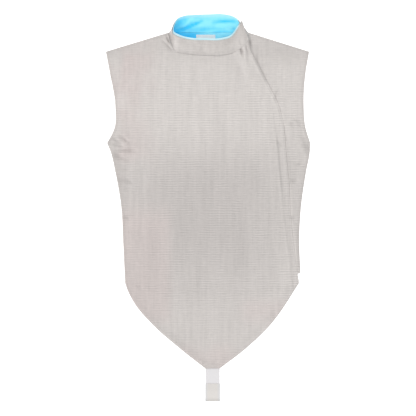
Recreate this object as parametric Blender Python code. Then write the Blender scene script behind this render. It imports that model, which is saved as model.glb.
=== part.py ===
"""Foil lame: a sleeveless fencing vest of metal cloth, closed and laid flat on its back.

Each piece that is cut and sewn is one solid. Tables are in millimetres, meshes in metres.
+Z is up from the table, +Y points to the collar and +X to the closure, on the wearer's left.
The origin is under the middle of the whole vest, on the table.
"""

from collections import namedtuple

import bpy
import numpy as np

MM = 0.001

# Cloth and seams
CLOTH = 1.2  # wall of the metal cloth
LINING = 0.9  # wall of the lining
GAP = 0.3  # between pieces that touch
NECK_GAP = 0.9  # between the collar and the panels sewn to it
LINING_GAP = 0.45  # between the collar and its lining
LAP_GAP = 0.8  # under the front where it laps over the side panel
LINING_PROUD = 1.6  # how far the collar's lining stands past its outer strip

# Heights above the table
SEAM_Z = CLOTH + GAP  # underside of the front along its seams with the back
LOFT = 2.8  # how far the front stands off the back inside its seams
NECK_LOFT = 3.5  # the same, added round the neck
ROUNDING = 22.0  # distance from a seam in which the loft is reached
LAP = 25.0  # width of side panel under the front
LAP_FADE = 24.0  # width in which the front comes back down beside the lap
LAP_FLAT = 3.0  # how far past the lap it stays up
NECK_LAP = 1.8  # extra lift of the lap at the collar
NECK = (5.0, 385.0)  # middle of the neck
NECK_REACH = (100.0, 75.0)  # half width and half height of the raised ring round it
NECK_FADE = 1.9  # where the raised ring ends, as a multiple of these
LAP_TOP_Y = 345.0  # above this the side panel's hidden edge turns to the collar
BACK_HEM_Y = -158.0  # at the wearer's right side
HEM_RISE = 8.0  # of the back hem towards the wearer's left side
HANG = (-206.0, -174.0)  # between these the front comes up from the table onto the back
FLAT = (-235.0, -80.0)  # between these the front's loft grows

# Strap
STRAP_X = 10.6
STRAP_WIDTH = 32.6
STRAP_TOP_Y = -355.0
STRAP_END_Y = -445.5
STRAP_WALL = 1.2
STRAP_EASE = (-337.0, -305.0)  # between these the front comes down from the strap
TAB_TOP_Y = -404.5
TAB_WIDTH = 34.0
TAB_WALL = 1.0

# Label and neck facing
LABEL_LEFT, LABEL_RIGHT = -27.0, 17.0
LABEL_HEIGHT = 30.0
LABEL_WALL = 0.8
LABEL_DROP = 7.5  # below the neck seam
FACING_HALF = 74.0
FACING_DEPTH = 52.0
FACING_BEND = 0.8  # how far its top edge falls at the ends
FACING_END = 0.22  # its depth at the ends, as a share of the depth in the middle

# Body outline: one row per level, wearer's right side and left side
Level = namedtuple("Level", "name y left right")
ARMHOLE = (
    Level("shoulder tip", 358.8, -234.9, 232.5),
    Level("front of shoulder", 312, -226.0, 224.4),
    Level("chest", 232, -213.0, 220.0),
    Level("low armhole", 182, -215.4, 224.6),
    Level("above underarm", 166, -222.4, 229.4),
    Level("underarm", 149, -232.2, 235.0),
)
SIDE = (
    Level("underarm", 149, -232.2, 235.0),
    Level("below underarm", 127, -223.4, 233.8),
    Level("ribs", 84, -213.4, 225.6),
    Level("waist", 0, -199.2, 213.6),
    Level("top of hip", -75, -195.3, 209.6),
    Level("hip corner", -166, -190.9, 212.6),
)
POINT = (
    Level("hip corner", -173, -190.5, 209.3),
    Level("below the hip", -190, -184.8, 198.4),
    Level("upper edge", -220, -169.0, 179.8),
    Level("middle", -268, -128.4, 144.5),
    Level("lower edge", -322, -66.8, 88.8),
    Level("point", -369.5, -6.4, 27.2),
)

# Free edge of the front over the side panel, from the collar down
Mark = namedtuple("Mark", "name x y")
CLOSURE = (
    Mark("collar", 93.5, 386.5),
    Mark("below collar", 97.5, 363),
    Mark("upper chest", 113, 333),
    Mark("chest", 140, 281),
    Mark("armhole", 162, 236),
    Mark("low armhole", 175, 186),
    Mark("underarm", 178.5, 142),
    Mark("ribs", 186, 61),
    Mark("waist", 191, -24),
    Mark("hip", 202, -125),
    Mark("hem", 209.3, -173),
)

# Collar: one row per station round the neck, seam point and top point of the outer strip.
# "on" is what the seam point is sewn to: the back on the table, a turn, the side panel or the front.
Station = namedtuple("Station", "name steps on base_x base_y base_z top_x top_y top_z")
COLLAR = (
    Station("underlap end", 0, "side", 71.5, 364.5, 0, 64.0, 409.8, 12.6),
    Station("underlap", 2, "side", 78.0, 369.2, 0, 68.5, 417.0, 10.0),
    Station("underlap start", 3, "side", 90.4, 383.5, 0, 72.4, 424.6, 6.4),
    Station("right turn", 3, "turn", 92.2, 402.8, 2.7, 72.6, 429.0, 3.0),
    Station("back right", 3, "turn", 82.0, 406.4, 1.7, 68.6, 432.6, 1.6),
    Station("back near right", 2, "back", 66.0, 405.6, 0.0, 58.5, 438.2, 0.8),
    Station("back right half", 2, "back", 36.0, 405.2, 0.0, 32.0, 443.6, 0.2),
    Station("back centre", 3, "back", 0.0, 405.0, 0.0, 3.0, 442.9, 0.2),
    Station("back left half", 3, "back", -36.0, 405.2, 0.0, -34.0, 441.5, 0.8),
    Station("back near left", 2, "back", -64.0, 405.6, 0.0, -58.0, 438.8, 3.2),
    Station("left corner", 2, "turn", -81.0, 406.4, 1.7, -73.0, 432.0, 8.5),
    Station("left turn", 3, "turn", -89.6, 402.9, 2.9, -80.4, 419.0, 15.0),
    Station("left front", 3, "front", -87.5, 387.0, 0, -82.3, 402.8, 21.0),
    Station("front left", 3, "front", -76.5, 361.5, 0, -68.5, 392.2, 23.5),
    Station("front", 3, "front", -42.0, 352.0, 0, -40.0, 384.6, 24.0),
    Station("front centre", 3, "front", -5.0, 349.6, 0, -5.0, 383.3, 24.0),
    Station("front right", 2, "front", 30.0, 349.0, 0, 29.5, 383.8, 23.5),
    Station("right", 3, "front", 57.0, 355.5, 0, 55.0, 392.4, 21.0),
    Station("right side", 2, "front", 76.0, 367.5, 0, 69.5, 413.0, 15.5),
    Station("end", 3, "front", 93.5, 386.5, 0, 77.6, 430.4, 8.5),
)
BACK_NECK_Y = 405.0

# Broad soft folds of the front: middle, direction in degrees, length, width and height
Fold = namedtuple("Fold", "name x y turn long wide high")
FOLDS = (
    Fold("underarm, upper", -196, 132, -28, 60, 16, 1.1),
    Fold("underarm, lower", -190, 104, -8, 54, 18, 0.8),
    Fold("ribs", -182, 60, 4, 60, 16, 0.6),
    Fold("neck, left", -99, 368, -58, 40, 11, 1.1),
    Fold("neck, right", 82, 350, -68, 36, 11, 1.0),
    Fold("chest, long", 60, 190, 84, 220, 46, 0.7),
    Fold("chest, left", -96, 150, 80, 240, 52, 0.6),
    Fold("belly", -10, -40, 86, 200, 60, 0.5),
    Fold("hip", 120, -90, 72, 130, 34, 0.7),
)

# Steps of the meshes
SHOULDER_STEPS = 7
ARMHOLE_STEPS = 10
SIDE_STEPS = 16
HEM_STEPS = 11
POINT_STEPS = 3
BACK_SHOULDER_STEPS = 5
BACK_ARMHOLE_STEPS = 8
BACK_SIDE_STEPS = 10
SEAM_STEPS = 20
FINE_STEPS = 40
COLLAR_ROWS = 4
FACING_STEPS = (12, 3)
LABEL_STEPS = (4, 2)
STRAP_STEPS = (2, 6)
TAB_STEPS = (2, 4)

# Materials: name, colour, roughness, metallic
METAL_CLOTH = ("metal_cloth", (0.63, 0.59, 0.565), 0.55, 0.35)
BLUE_LINING = ("blue_lining", (0.18, 0.72, 0.95), 0.45, 0.0)
WHITE_LABEL = ("white_label", (0.9, 0.9, 0.9), 0.7, 0.0)
WHITE_ELASTIC = ("white_elastic", (0.78, 0.77, 0.78), 0.85, 0.0)
WHITE_TAB = ("white_tab", (0.74, 0.72, 0.7), 0.9, 0.0)


def smoothstep(value, low, high):
    """0 below low, 1 above high and an S curve between."""
    t = np.clip((value - low) / (high - low), 0.0, 1.0)
    return t * t * (3.0 - 2.0 * t)


def through(points, at, where):
    """A smooth curve through points given at rising places, read at the places in where."""
    slopes = np.gradient(points, at, axis=0)
    i = np.clip(np.searchsorted(at, where, side="right") - 1, 0, len(at) - 2)
    span = (at[i + 1] - at[i])[:, None]
    t = (where - at[i])[:, None] / span
    start = (1 + 2 * t) * (1 - t) ** 2 * points[i] + t * (1 - t) ** 2 * span * slopes[i]
    end = t**2 * (3 - 2 * t) * points[i + 1] + t**2 * (t - 1) * span * slopes[i + 1]
    return start + end


def lengths(points):
    """Distance along a line of points, from its start."""
    return np.concatenate([[0.0], np.cumsum(np.linalg.norm(np.diff(points, axis=0), axis=1))])


def smooth(points, steps):
    """Evenly spaced points on a smooth curve through the given ones."""
    points = np.array(points, float)
    at = lengths(points)
    fine = through(points, at, np.linspace(0.0, at[-1], FINE_STEPS * len(points)))
    along = lengths(fine)
    even = np.linspace(0.0, along[-1], steps + 1)
    return np.stack([np.interp(even, along, fine[:, k]) for k in range(points.shape[1])], axis=1)


def chain(*lines):
    """Joins lines end to end, keeping each shared point once."""
    return np.concatenate([line[:-1] for line in lines[:-1]] + [lines[-1]])


def coons(bottom, left, right, top):
    """A grid filling four edges; left and right run up, bottom and top run to the right."""
    u = np.linspace(0.0, 1.0, len(bottom))[None, :, None]
    v = np.linspace(0.0, 1.0, len(left))[:, None, None]
    across = (1 - v) * bottom[None] + v * top[None]
    upward = (1 - u) * left[:, None] + u * right[:, None]
    low = (1 - u) * bottom[0] + u * bottom[-1]
    high = (1 - u) * top[0] + u * top[-1]
    return across + upward - (1 - v) * low - v * high


def side_line(rows, side, steps):
    """The outline of one side through a table of levels, from the lowest row up."""
    points = [(getattr(row, side), row.y) for row in reversed(rows)]
    return smooth(points, steps)


def closure_line():
    """The front's free edge from the hem up."""
    points = [(mark.x, mark.y) for mark in reversed(CLOSURE)]
    return smooth(points, ARMHOLE_STEPS + SIDE_STEPS)


def collar_line(edge):
    """Points along the "base" or the "top" edge of the collar's outer face."""
    bases = np.array([(row.base_x, row.base_y, station_z(row)) for row in COLLAR])
    tops = np.array([(row.top_x, row.top_y, row.top_z) for row in COLLAR])
    points = bases if edge == "base" else tops
    at = lengths((bases + tops)[:, :2] / 2)
    places = [at[0]]
    for start, stop, row in zip(at[:-1], at[1:], COLLAR[1:]):
        places += [start + (stop - start) * k / row.steps for k in range(1, row.steps + 1)]
    line = through(points, at, np.array(places))
    line[:, 2] = np.maximum(line[:, 2], 0.0)
    return line


def station_column(name):
    """The number of the collar's column at a named station."""
    place = [row.name for row in COLLAR].index(name)
    return sum(row.steps for row in COLLAR[: place + 1])


def station_z(row):
    """Height of the outer face where a station is sewn on."""
    if row.on == "front":
        return float(front_underside(row.base_x, row.base_y)) + CLOTH
    if row.on == "side":
        return float(side_underside(row.base_x, row.base_y)) + CLOTH
    return row.base_z


def neckline(first, last):
    """The seam under the collar between two stations, moved away from the collar by a gap."""
    base = collar_line("base")[station_column(first) : station_column(last) + 1]
    top = collar_line("top")[station_column(first) : station_column(last) + 1]
    along = np.gradient(base[:, :2], axis=0)
    across = np.stack([along[:, 1], -along[:, 0]], axis=1)
    across /= np.linalg.norm(across, axis=1)[:, None]
    away = np.sign(np.sum(across * (base - top)[:, :2], axis=1))[:, None] * across
    return base[:, :2] + NECK_GAP * away


def seams():
    """The line on which the front is sewn down or turned under: all its outline but the neck."""
    halves = []
    for side in ("left", "right"):
        rows = [side_line(table, side, SEAM_STEPS) for table in (POINT, SIDE, ARMHOLE)]
        halves.append(chain(*rows, np.array([shoulder_tip(side), neck_point(side)])))
    return np.concatenate([halves[0][::-1], halves[1]])


def shoulder_tip(side):
    return np.array([getattr(ARMHOLE[0], side), ARMHOLE[0].y])


def neck_point(side):
    """Where the shoulder seam meets the collar."""
    row = next(row for row in COLLAR if row.name == side + " turn")
    return np.array([row.base_x, row.base_y])


def distance_to(line, x, y):
    """Shortest distance from each place to a line of points."""
    place = np.stack(np.broadcast_arrays(x, y), axis=-1).astype(float)
    best = np.full(place.shape[:-1], np.inf)
    for a, b in zip(line[:-1], line[1:]):
        run = b - a
        t = np.clip(((place - a) @ run) / max(run @ run, 1e-9), 0.0, 1.0)
        best = np.minimum(best, np.linalg.norm(place - a - t[..., None] * run, axis=-1))
    return best


def near_neck(x, y):
    """1 round the neck, fading to 0 away from it."""
    reach = np.hypot((x - NECK[0]) / NECK_REACH[0], (y - NECK[1]) / NECK_REACH[1])
    return 1.0 - smoothstep(reach, 1.0, NECK_FADE)


def folds(x, y):
    """Height of the broad folds."""
    total = np.zeros(np.broadcast(x, y).shape)
    for fold in FOLDS:
        turn = np.radians(fold.turn)
        along = (x - fold.x) * np.cos(turn) + (y - fold.y) * np.sin(turn)
        across = (y - fold.y) * np.cos(turn) - (x - fold.x) * np.sin(turn)
        total = total + fold.high * np.exp(
            -((2 * along / fold.long) ** 2) - (2 * across / fold.wide) ** 2
        )
    return total


def side_underside(x, y):
    """Underside of the cloth that lies over the back: the loft inside the seams, with its folds."""
    x, y = np.asarray(x, float), np.asarray(y, float)
    rest = SEAM_Z * smoothstep(y, *HANG)
    inside = 1.0 - np.exp(-distance_to(seams(), x, y) / ROUNDING)
    loft = LOFT * smoothstep(y, *FLAT) + NECK_LOFT * near_neck(x, y)
    return rest + inside * (loft + folds(x, y))


def front_underside(x, y):
    """Underside of the front, which is lifted over the side panel and over the strap."""
    x, y = np.asarray(x, float), np.asarray(y, float)
    marks = CLOSURE[::-1]
    edge = np.interp(y, [mark.y for mark in marks], [mark.x for mark in marks])
    over = smoothstep(x - edge, -LAP - LAP_FADE, -LAP - LAP_FLAT) * smoothstep(y, *HANG)
    lap = (CLOTH + LAP_GAP + NECK_LAP * near_neck(x, y)) * over
    strap = (STRAP_WALL + GAP) * (1.0 - smoothstep(y, *STRAP_EASE))
    return side_underside(x, y) + lap + strap


def raised(grid, height):
    """A flat grid with its heights."""
    return np.concatenate([grid, height[..., None]], axis=-1)


def material(name, colour, roughness, metallic):
    found = bpy.data.materials.get(name) or bpy.data.materials.new(name)
    found.use_nodes = True
    shader = found.node_tree.nodes["Principled BSDF"]
    shader.inputs["Base Color"].default_value = (*colour, 1.0)
    shader.inputs["Roughness"].default_value = roughness
    shader.inputs["Metallic"].default_value = metallic
    return found


def wall(name, lower, upper, finish):
    """A closed wall between two grids of points, rows by columns."""
    rows, columns = lower.shape[:2]
    count = rows * columns
    number = np.arange(count).reshape(rows, columns)
    a, b = number[:-1, :-1].ravel(), number[:-1, 1:].ravel()
    c, d = number[1:, 1:].ravel(), number[1:, :-1].ravel()
    under = np.concatenate([np.stack([a, c, b], 1), np.stack([a, d, c], 1)])
    over = under[:, ::-1] + count
    rim = np.concatenate([number[0], number[1:, -1], number[-1, -2::-1], number[-2:0:-1, 0]])
    after = np.roll(rim, -1)
    sides = np.concatenate(
        [np.stack([rim, after, after + count], 1), np.stack([rim, after + count, rim + count], 1)]
    )
    points = np.concatenate([lower.reshape(-1, 3), upper.reshape(-1, 3)]) * MM
    mesh = bpy.data.meshes.new(name)
    mesh.from_pydata(points.tolist(), [], np.concatenate([under, over, sides]).tolist())
    mesh.update()
    mesh.materials.append(material(*finish))
    made = bpy.data.objects.new(name, mesh)
    bpy.context.collection.objects.link(made)
    return made


def sheet(name, grid, underside, thickness, finish):
    """A wall of even thickness over a flat grid, with its underside at the given height."""
    return wall(name, raised(grid, underside), raised(grid, underside + thickness), finish)


def make_front():
    left = chain(side_line(SIDE, "left", SIDE_STEPS), side_line(ARMHOLE, "left", ARMHOLE_STEPS))
    neck = neckline("left turn", "end")
    top = chain(smooth([shoulder_tip("left"), neck[0]], SHOULDER_STEPS), neck)
    hem_left = side_line(POINT, "left", HEM_STEPS)[::-1]
    hem_right = side_line(POINT, "right", len(top) - 1 - HEM_STEPS - POINT_STEPS)
    hem_left[0] = left[0]
    tip = smooth([hem_left[-1], hem_right[0]], POINT_STEPS)
    bottom = chain(hem_left, tip, hem_right)
    right = closure_line()
    right[0], right[-1] = bottom[-1], top[-1]
    grid = coons(bottom, left, right, top)
    height = front_underside(grid[..., 0], grid[..., 1])
    return sheet("front", grid, height, CLOTH, METAL_CLOTH)


def make_side_front():
    right = chain(side_line(SIDE, "right", SIDE_STEPS), side_line(ARMHOLE, "right", ARMHOLE_STEPS))
    neck = neckline("underlap end", "right turn")
    top = chain(neck, smooth([neck[-1], shoulder_tip("right")], SHOULDER_STEPS))
    marks = [(mark.x - LAP, mark.y) for mark in reversed(CLOSURE) if mark.y < LAP_TOP_Y]
    marks = [(marks[0][0], BACK_HEM_Y), *marks[1:], tuple(neck[0])]
    left = smooth(marks, ARMHOLE_STEPS + SIDE_STEPS)
    right[0] = (SIDE[-1].right, BACK_HEM_Y + HEM_RISE)
    bottom = smooth([left[0], right[0]], len(top) - 1)
    grid = coons(bottom, left, right, top)
    height = side_underside(grid[..., 0], grid[..., 1])
    return sheet("side_front", grid, height, CLOTH, METAL_CLOTH)


def make_back():
    edges = []
    for side, corner in (("left", BACK_HEM_Y), ("right", BACK_HEM_Y + HEM_RISE)):
        rows = SIDE[:-1] + (SIDE[-1]._replace(y=corner),)
        below = side_line(rows, side, BACK_SIDE_STEPS)
        edges.append(chain(below, side_line(ARMHOLE, side, BACK_ARMHOLE_STEPS)))
    left, right = edges
    neck = neckline("right turn", "left turn")[::-1]
    shoulder_left = smooth([shoulder_tip("left"), neck[0]], BACK_SHOULDER_STEPS)
    shoulder_right = smooth([neck[-1], shoulder_tip("right")], BACK_SHOULDER_STEPS)
    top = chain(shoulder_left, neck, shoulder_right)
    bottom = smooth([left[0], right[0]], len(top) - 1)
    grid = coons(bottom, left, right, top)
    return sheet("back", grid, np.zeros(grid.shape[:2]), CLOTH, METAL_CLOTH)


def collar_grid():
    """Outer face of the collar's strip: stations down the first axis, seam to top edge across."""
    base, top = collar_line("base"), collar_line("top")
    t = np.linspace(0.0, 1.0, COLLAR_ROWS + 1)[None, :, None]
    return (1 - t) * base[:, None] + t * top[:, None]


def inward(grid):
    """Unit vectors from the collar's outer face to the inside of the neck."""
    along = np.gradient(grid, axis=0)
    upward = np.gradient(grid, axis=1)
    normal = np.cross(upward, along)
    return normal / np.linalg.norm(normal, axis=-1)[..., None]


def make_collar():
    outer = collar_grid()
    return wall("collar", outer, outer + CLOTH * inward(outer), METAL_CLOTH)


def make_collar_lining():
    face = collar_grid()
    inside = inward(face)
    start = station_column("back right")
    face, inside = face[start:], inside[start:]
    rise = face[:, -1] - face[:, 0]
    rise /= np.linalg.norm(rise, axis=1)[:, None]
    proud = np.zeros_like(face)
    proud[:, -1] = LINING_PROUD * rise
    outer = face + (CLOTH + LINING_GAP) * inside + proud
    return wall("collar_lining", outer, outer + LINING * inside, BLUE_LINING)


def make_neck_lining():
    """The half-round facing inside the back of the neck."""
    columns, rows = FACING_STEPS
    x = np.linspace(-FACING_HALF, FACING_HALF, columns + 1)
    top_y = BACK_NECK_Y - 2 * GAP - FACING_BEND * (x / FACING_HALF) ** 4
    depth = FACING_DEPTH * np.sqrt(np.clip(1.0 - (x / FACING_HALF) ** 2, FACING_END**2, 1.0))
    share = np.linspace(1.0, 0.0, rows + 1)[:, None]
    y = top_y - share * depth
    grid = np.stack([np.broadcast_to(x, y.shape), y], axis=-1)
    return sheet("neck_lining", grid, np.full(y.shape, CLOTH + GAP), LINING, BLUE_LINING)


def patch(name, x_range, y_range, z, thickness, steps, finish):
    """A flat rectangular piece."""
    x = np.linspace(*x_range, steps[0] + 1)
    y = np.linspace(*y_range, steps[1] + 1)
    grid = np.stack(np.meshgrid(x, y), axis=-1)
    return sheet(name, grid, np.full(grid.shape[:2], z), thickness, finish)


def make_label():
    top = BACK_NECK_Y - LABEL_DROP
    x_range, y_range = (LABEL_LEFT, LABEL_RIGHT), (top - LABEL_HEIGHT, top)
    height = CLOTH + LINING + 2 * GAP
    return patch("label", x_range, y_range, height, LABEL_WALL, LABEL_STEPS, WHITE_LABEL)


def make_strap():
    half = STRAP_WIDTH / 2
    x_range, y_range = (STRAP_X - half, STRAP_X + half), (STRAP_END_Y, STRAP_TOP_Y)
    return patch("crotch_strap", x_range, y_range, 0.0, STRAP_WALL, STRAP_STEPS, WHITE_ELASTIC)


def make_strap_tab():
    half = TAB_WIDTH / 2
    x_range, y_range = (STRAP_X - half, STRAP_X + half), (STRAP_END_Y, TAB_TOP_Y)
    return patch("strap_tab", x_range, y_range, STRAP_WALL + GAP, TAB_WALL, TAB_STEPS, WHITE_TAB)


for old in list(bpy.data.objects):
    bpy.data.objects.remove(old, do_unlink=True)
make_back()
make_side_front()
make_front()
make_collar()
make_collar_lining()
make_neck_lining()
make_label()
make_strap()
make_strap_tab()
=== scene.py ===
"""Foil lame: a sleeveless fencing vest of metal cloth, closed and laid flat on its back.

Tables and lengths are in millimetres, meshes in metres. +Z is up from the table, +Y points to
the collar and +X to the closure, on the wearer's left. "left" and "right" in the tables are the
sides of the table, so "left" is the wearer's right side.
"""

from collections import namedtuple

import bpy
import numpy as np
from bpy.props import FloatProperty, FloatVectorProperty, PointerProperty
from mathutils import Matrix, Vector


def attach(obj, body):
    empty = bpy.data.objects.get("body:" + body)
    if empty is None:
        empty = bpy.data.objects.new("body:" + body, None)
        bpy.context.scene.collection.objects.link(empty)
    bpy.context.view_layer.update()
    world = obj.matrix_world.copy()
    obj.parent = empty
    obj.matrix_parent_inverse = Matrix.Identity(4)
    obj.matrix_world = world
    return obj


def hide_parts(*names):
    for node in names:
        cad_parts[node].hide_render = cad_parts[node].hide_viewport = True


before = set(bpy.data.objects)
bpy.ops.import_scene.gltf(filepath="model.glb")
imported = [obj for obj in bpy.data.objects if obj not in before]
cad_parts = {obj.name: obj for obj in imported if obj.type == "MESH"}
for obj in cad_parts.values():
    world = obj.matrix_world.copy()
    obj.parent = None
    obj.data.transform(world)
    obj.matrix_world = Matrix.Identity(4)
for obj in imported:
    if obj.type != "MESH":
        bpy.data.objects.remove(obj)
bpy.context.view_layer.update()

bl_info = {
    "name": "Foil Lame",
    "version": (1, 0, 0),
    "blender": (4, 5, 0),
    "location": "3D View > Sidebar > Foil Lame",
    "description": "A sleeveless fencing vest of metal cloth, laid flat",
    "category": "Add Mesh",
}

MM = 0.001

# Gaps between pieces
SEAM_GAP = 0.3
NECK_GAP = 0.12  # between the collar and the panels sewn to it
LINING_GAP = 0.45  # between the collar and its lining
FACING_GAP = 0.65  # between the back and the lining inside the neck
BACK_GAP = 0.25  # kept free under the front where the back is creased
LAP_GAP = (0.25, 0.8)  # under the front where it laps over the side panel, low and high
HEM_GAP = 0.45  # more of the same over the side panel's hem, which lies between these levels
HEM_LEVELS = (-148.0, -128.0)

# Cloth and its heights above the table
CLOTH = 1.2  # wall of the metal cloth with its backing
LINING = 0.9
SEAM_Z = CLOTH + SEAM_GAP
LOFT = 2.8  # how far the closed vest bulges
NECK_LOFT = 3.5
ROUNDING = 22.0  # distance over which it comes up from its seams
FLAT = (-235.0, -80.0)  # levels between which the bulge comes in
HANG = (-206.0, -174.0)  # levels between which the front comes up over the hem of the back
BACK_HEM_Y = -158.0
HEM_RISE = 8.0  # how much higher that hem is at the closure's side
NECK = (5.0, 385.0)
NECK_REACH = (100.0, 75.0)
NECK_FADE = 1.9

# Painted shade for each millimetre that a crease is deep, painted light for each millimetre that
# it stands up, and the heights, low and high, past which that does not change
SHADE_PER_MM = 0.03
SHADE_HEIGHTS = (-4.0, 2.0)

# Lap of the front over the side panel
LAP = 25.0
LAP_FADE = 24.0
LAP_FLAT = 3.0
LAP_TOP_Y = 345.0
LAP_EASE = (190.0, 262.0)  # levels between which the lap goes from flat to standing off
NECK_LAP = 1.8

# Hems and their stitches
HEM_LAYER = 0.55  # what the turned layer adds
HEM_SUNK = 0.45  # depth of the row of stitches
PUCKER_STEP = 10.3  # from one pucker to the next, on average
ROW_SEEN = (142.0, 236.0)  # levels between which the front's row of topstitching fades
ROW_HEIGHT = 0.9  # of the welts beside that row
STITCH_INSET = 0.9  # from the turned layer's edge to the stitches
STITCH_GAP = 1.0
STITCH_SIDES = 6
STITCH_RINGS = ((0.0, 0.35), (0.14, 0.85), (0.5, 1.0), (0.86, 0.85), (1.0, 0.35))  # place, size

# Strap
STRAP_X = 10.6
STRAP_WIDTH = 32.6
STRAP_TOP_Y = -355.0
STRAP_END_Y = -445.5
STRAP_WALL = 1.2
STRAP_EASE = (-337.0, -305.0)  # levels between which the front comes down off the strap
STRAP_RIB = 2.4
TAB_TOP_Y = -404.5
TAB_WIDTH = 34.0
TAB_WALL = 1.0
TAB_EDGE = (0.67, 0.67, 0.675)

# Label and neck lining
LABEL_LEFT, LABEL_RIGHT = -27.0, 17.0
LABEL_HEIGHT = 30.0
LABEL_WALL = 0.8
LABEL_DROP = 7.5
FACING_HALF = 74.0
FACING_DEPTH = 52.0
FACING_BEND = 0.8
FACING_END = 0.22
FACING_LAP = 2.6
BACK_NECK_Y = 405.0
LINING_PROUD = (1.6, 4.2)  # how far the collar's lining stands past it, lying and standing

# Stage, in metres
FLOOR_REACH = 9.0
FLOOR_Z = -0.0004
CAMERA_Y = -0.0007
SQUARE = ((-1, -1), (1, -1), (1, 1), (-1, 1))

# Mesh steps
EDGE_ROWS = (0.0, 0.35, 0.9, 1.7, 3.2, 4.8, 5.6, 6.2, 6.9, 7.9, 9.6, 12.0)
COLLAR_ROWS = np.array(
    [0, 0.012, 0.03, 0.06, 0.1, 0.16, 0.24, 0.33, 0.42, 0.51, 0.6, 0.69, 0.77]
    + [0.84, 0.89, 0.92, 0.945, 0.97, 0.988, 1]
)
COLLAR_FINE = 5
FINE_STEPS = 40
GRIDS = {"back": (112, 140), "side_front": (56, 190), "front": (176, 246)}  # columns, rows
SEAM_STEPS = 20
OUTLINE_STEPS = 90
NEAR_EDGE = 0.004  # share of a grid that counts as next to its edge


def table(columns, *rows):
    """A table: rows of values that go by the names of its columns."""
    row = namedtuple("Row", columns)
    return tuple(row(*values) for values in rows)


# Body outline: one row per level
ARMHOLE = table(
    "name y left right",
    ("shoulder tip", 358.8, -234.9, 232.5),
    ("front of shoulder", 312, -226, 224.4),
    ("chest", 232, -213, 220),
    ("low armhole", 182, -215.4, 224.6),
    ("above underarm", 166, -222.4, 229.4),
    ("underarm", 149, -232.2, 235),
)
SIDE = table(
    "name y left right",
    ("underarm", 149, -232.2, 235),
    ("below underarm", 127, -223.4, 233.8),
    ("ribs", 84, -213.4, 225.6),
    ("waist", 0, -199.2, 213.6),
    ("top of hip", -75, -195.3, 209.6),
    ("hip corner", -166, -190.9, 212.6),
)
POINT = table(
    "name y left right",
    ("hip corner", -173, -190.5, 209.3),
    ("below the hip", -190, -184.8, 198.4),
    ("upper edge", -220, -169, 179.8),
    ("middle", -268, -128.4, 144.5),
    ("lower edge", -322, -66.8, 88.8),
    ("point", -369.5, -6.4, 27.2),
)

# Free edge of the front over the side panel, from the collar down, and the row of topstitching
# that holds its facing
CLOSURE = table(
    "name x y",
    ("collar", 93.5, 386.5),
    ("below collar", 97.5, 363),
    ("upper chest", 113, 333),
    ("chest", 140, 281),
    ("armhole", 162, 236),
    ("low armhole", 175, 186),
    ("underarm", 178.5, 142),
    ("ribs", 186, 61),
    ("waist", 191, -24),
    ("hip", 202, -125),
    ("hem", 209.3, -173),
)
FACING_ROW = table(
    "name x y",
    ("chest", 147, 236),
    ("low armhole", 154, 186),
    ("underarm", 160.6, 142),
    ("below the underarm", 164.3, 100),
    ("ribs", 168, 60),
    ("below the ribs", 172.2, 18),
    ("waist", 175, -15),
    ("below the waist", 179, -45),
    ("above the hip", 182.6, -75),
    ("low hip", 190, -135),
    ("hem", 196, -182),
)

# Collar: one row per station round the neck, seam point and top point of the outer strip. "on" is
# what the seam point is sewn to: the back on the table, a turn, the side panel or the front.
COLLAR = table(
    "name steps on base_x base_y base_z top_x top_y top_z",
    ("underlap end", 0, "side", 71.5, 364.5, 0, 64, 409.8, 12.6),
    ("underlap", 2, "side", 78, 369.2, 0, 68.5, 417, 10),
    ("underlap start", 3, "side", 90.4, 383.5, 0, 72.4, 424.6, 6.4),
    ("right turn", 3, "turn", 92.2, 402.8, 2.7, 72.6, 429, 3),
    ("back right", 3, "turn", 82, 406.4, 1.7, 68.6, 432.6, 1.6),
    ("back near right", 2, "back", 66, 405.6, 0, 58.5, 438.2, 0.8),
    ("back right half", 2, "back", 36, 405.2, 0, 32, 443.6, 0.2),
    ("back centre", 3, "back", 0, 405, 0, 3, 442.9, 0.2),
    ("back left half", 3, "back", -36, 405.2, 0, -34, 441.5, 0.8),
    ("back near left", 2, "back", -64, 405.6, 0, -58, 438.8, 3.2),
    ("left corner", 2, "turn", -81, 406.4, 1.7, -73, 432, 8.5),
    ("left turn", 3, "turn", -89.6, 402.9, 2.9, -80.4, 419, 15),
    ("left front", 3, "front", -87.5, 387, 0, -82.3, 402.8, 21),
    ("front left", 3, "front", -76.5, 361.5, 0, -68.5, 392.2, 23.7),
    ("front", 3, "front", -42, 352, 0, -40, 384.6, 24.2),
    ("front centre", 3, "front", -5, 349.6, 0, -5, 383.3, 24.2),
    ("front right", 2, "front", 30, 349, 0, 29.5, 383.8, 23.8),
    ("right", 3, "front", 57, 355.5, 0, 55, 392.4, 21.2),
    ("right side", 2, "front", 76, 367.5, 0, 69.5, 413, 15.5),
    ("end", 3, "front", 93.5, 386.5, 0, 77.6, 430.4, 8.5),
)

# Broad soft folds of the front: middle, direction in degrees, length, width and height
FOLDS = table(
    "name x y turn long wide high",
    ("underarm, upper", -196, 132, -28, 60, 16, 1.1),
    ("underarm, lower", -190, 104, -8, 54, 18, 0.8),
    ("ribs", -182, 60, 4, 60, 16, 0.6),
    ("neck, left", -99, 368, -58, 40, 11, 1.1),
    ("neck, right", 82, 350, -68, 36, 11, 1),
    ("chest, long", 60, 190, 84, 220, 46, 0.7),
    ("chest, left", -96, 150, 80, 240, 52, 0.6),
    ("belly", -10, -40, 86, 200, 60, 0.5),
    ("hip", 120, -90, 72, 130, 34, 0.7),
)

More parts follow.
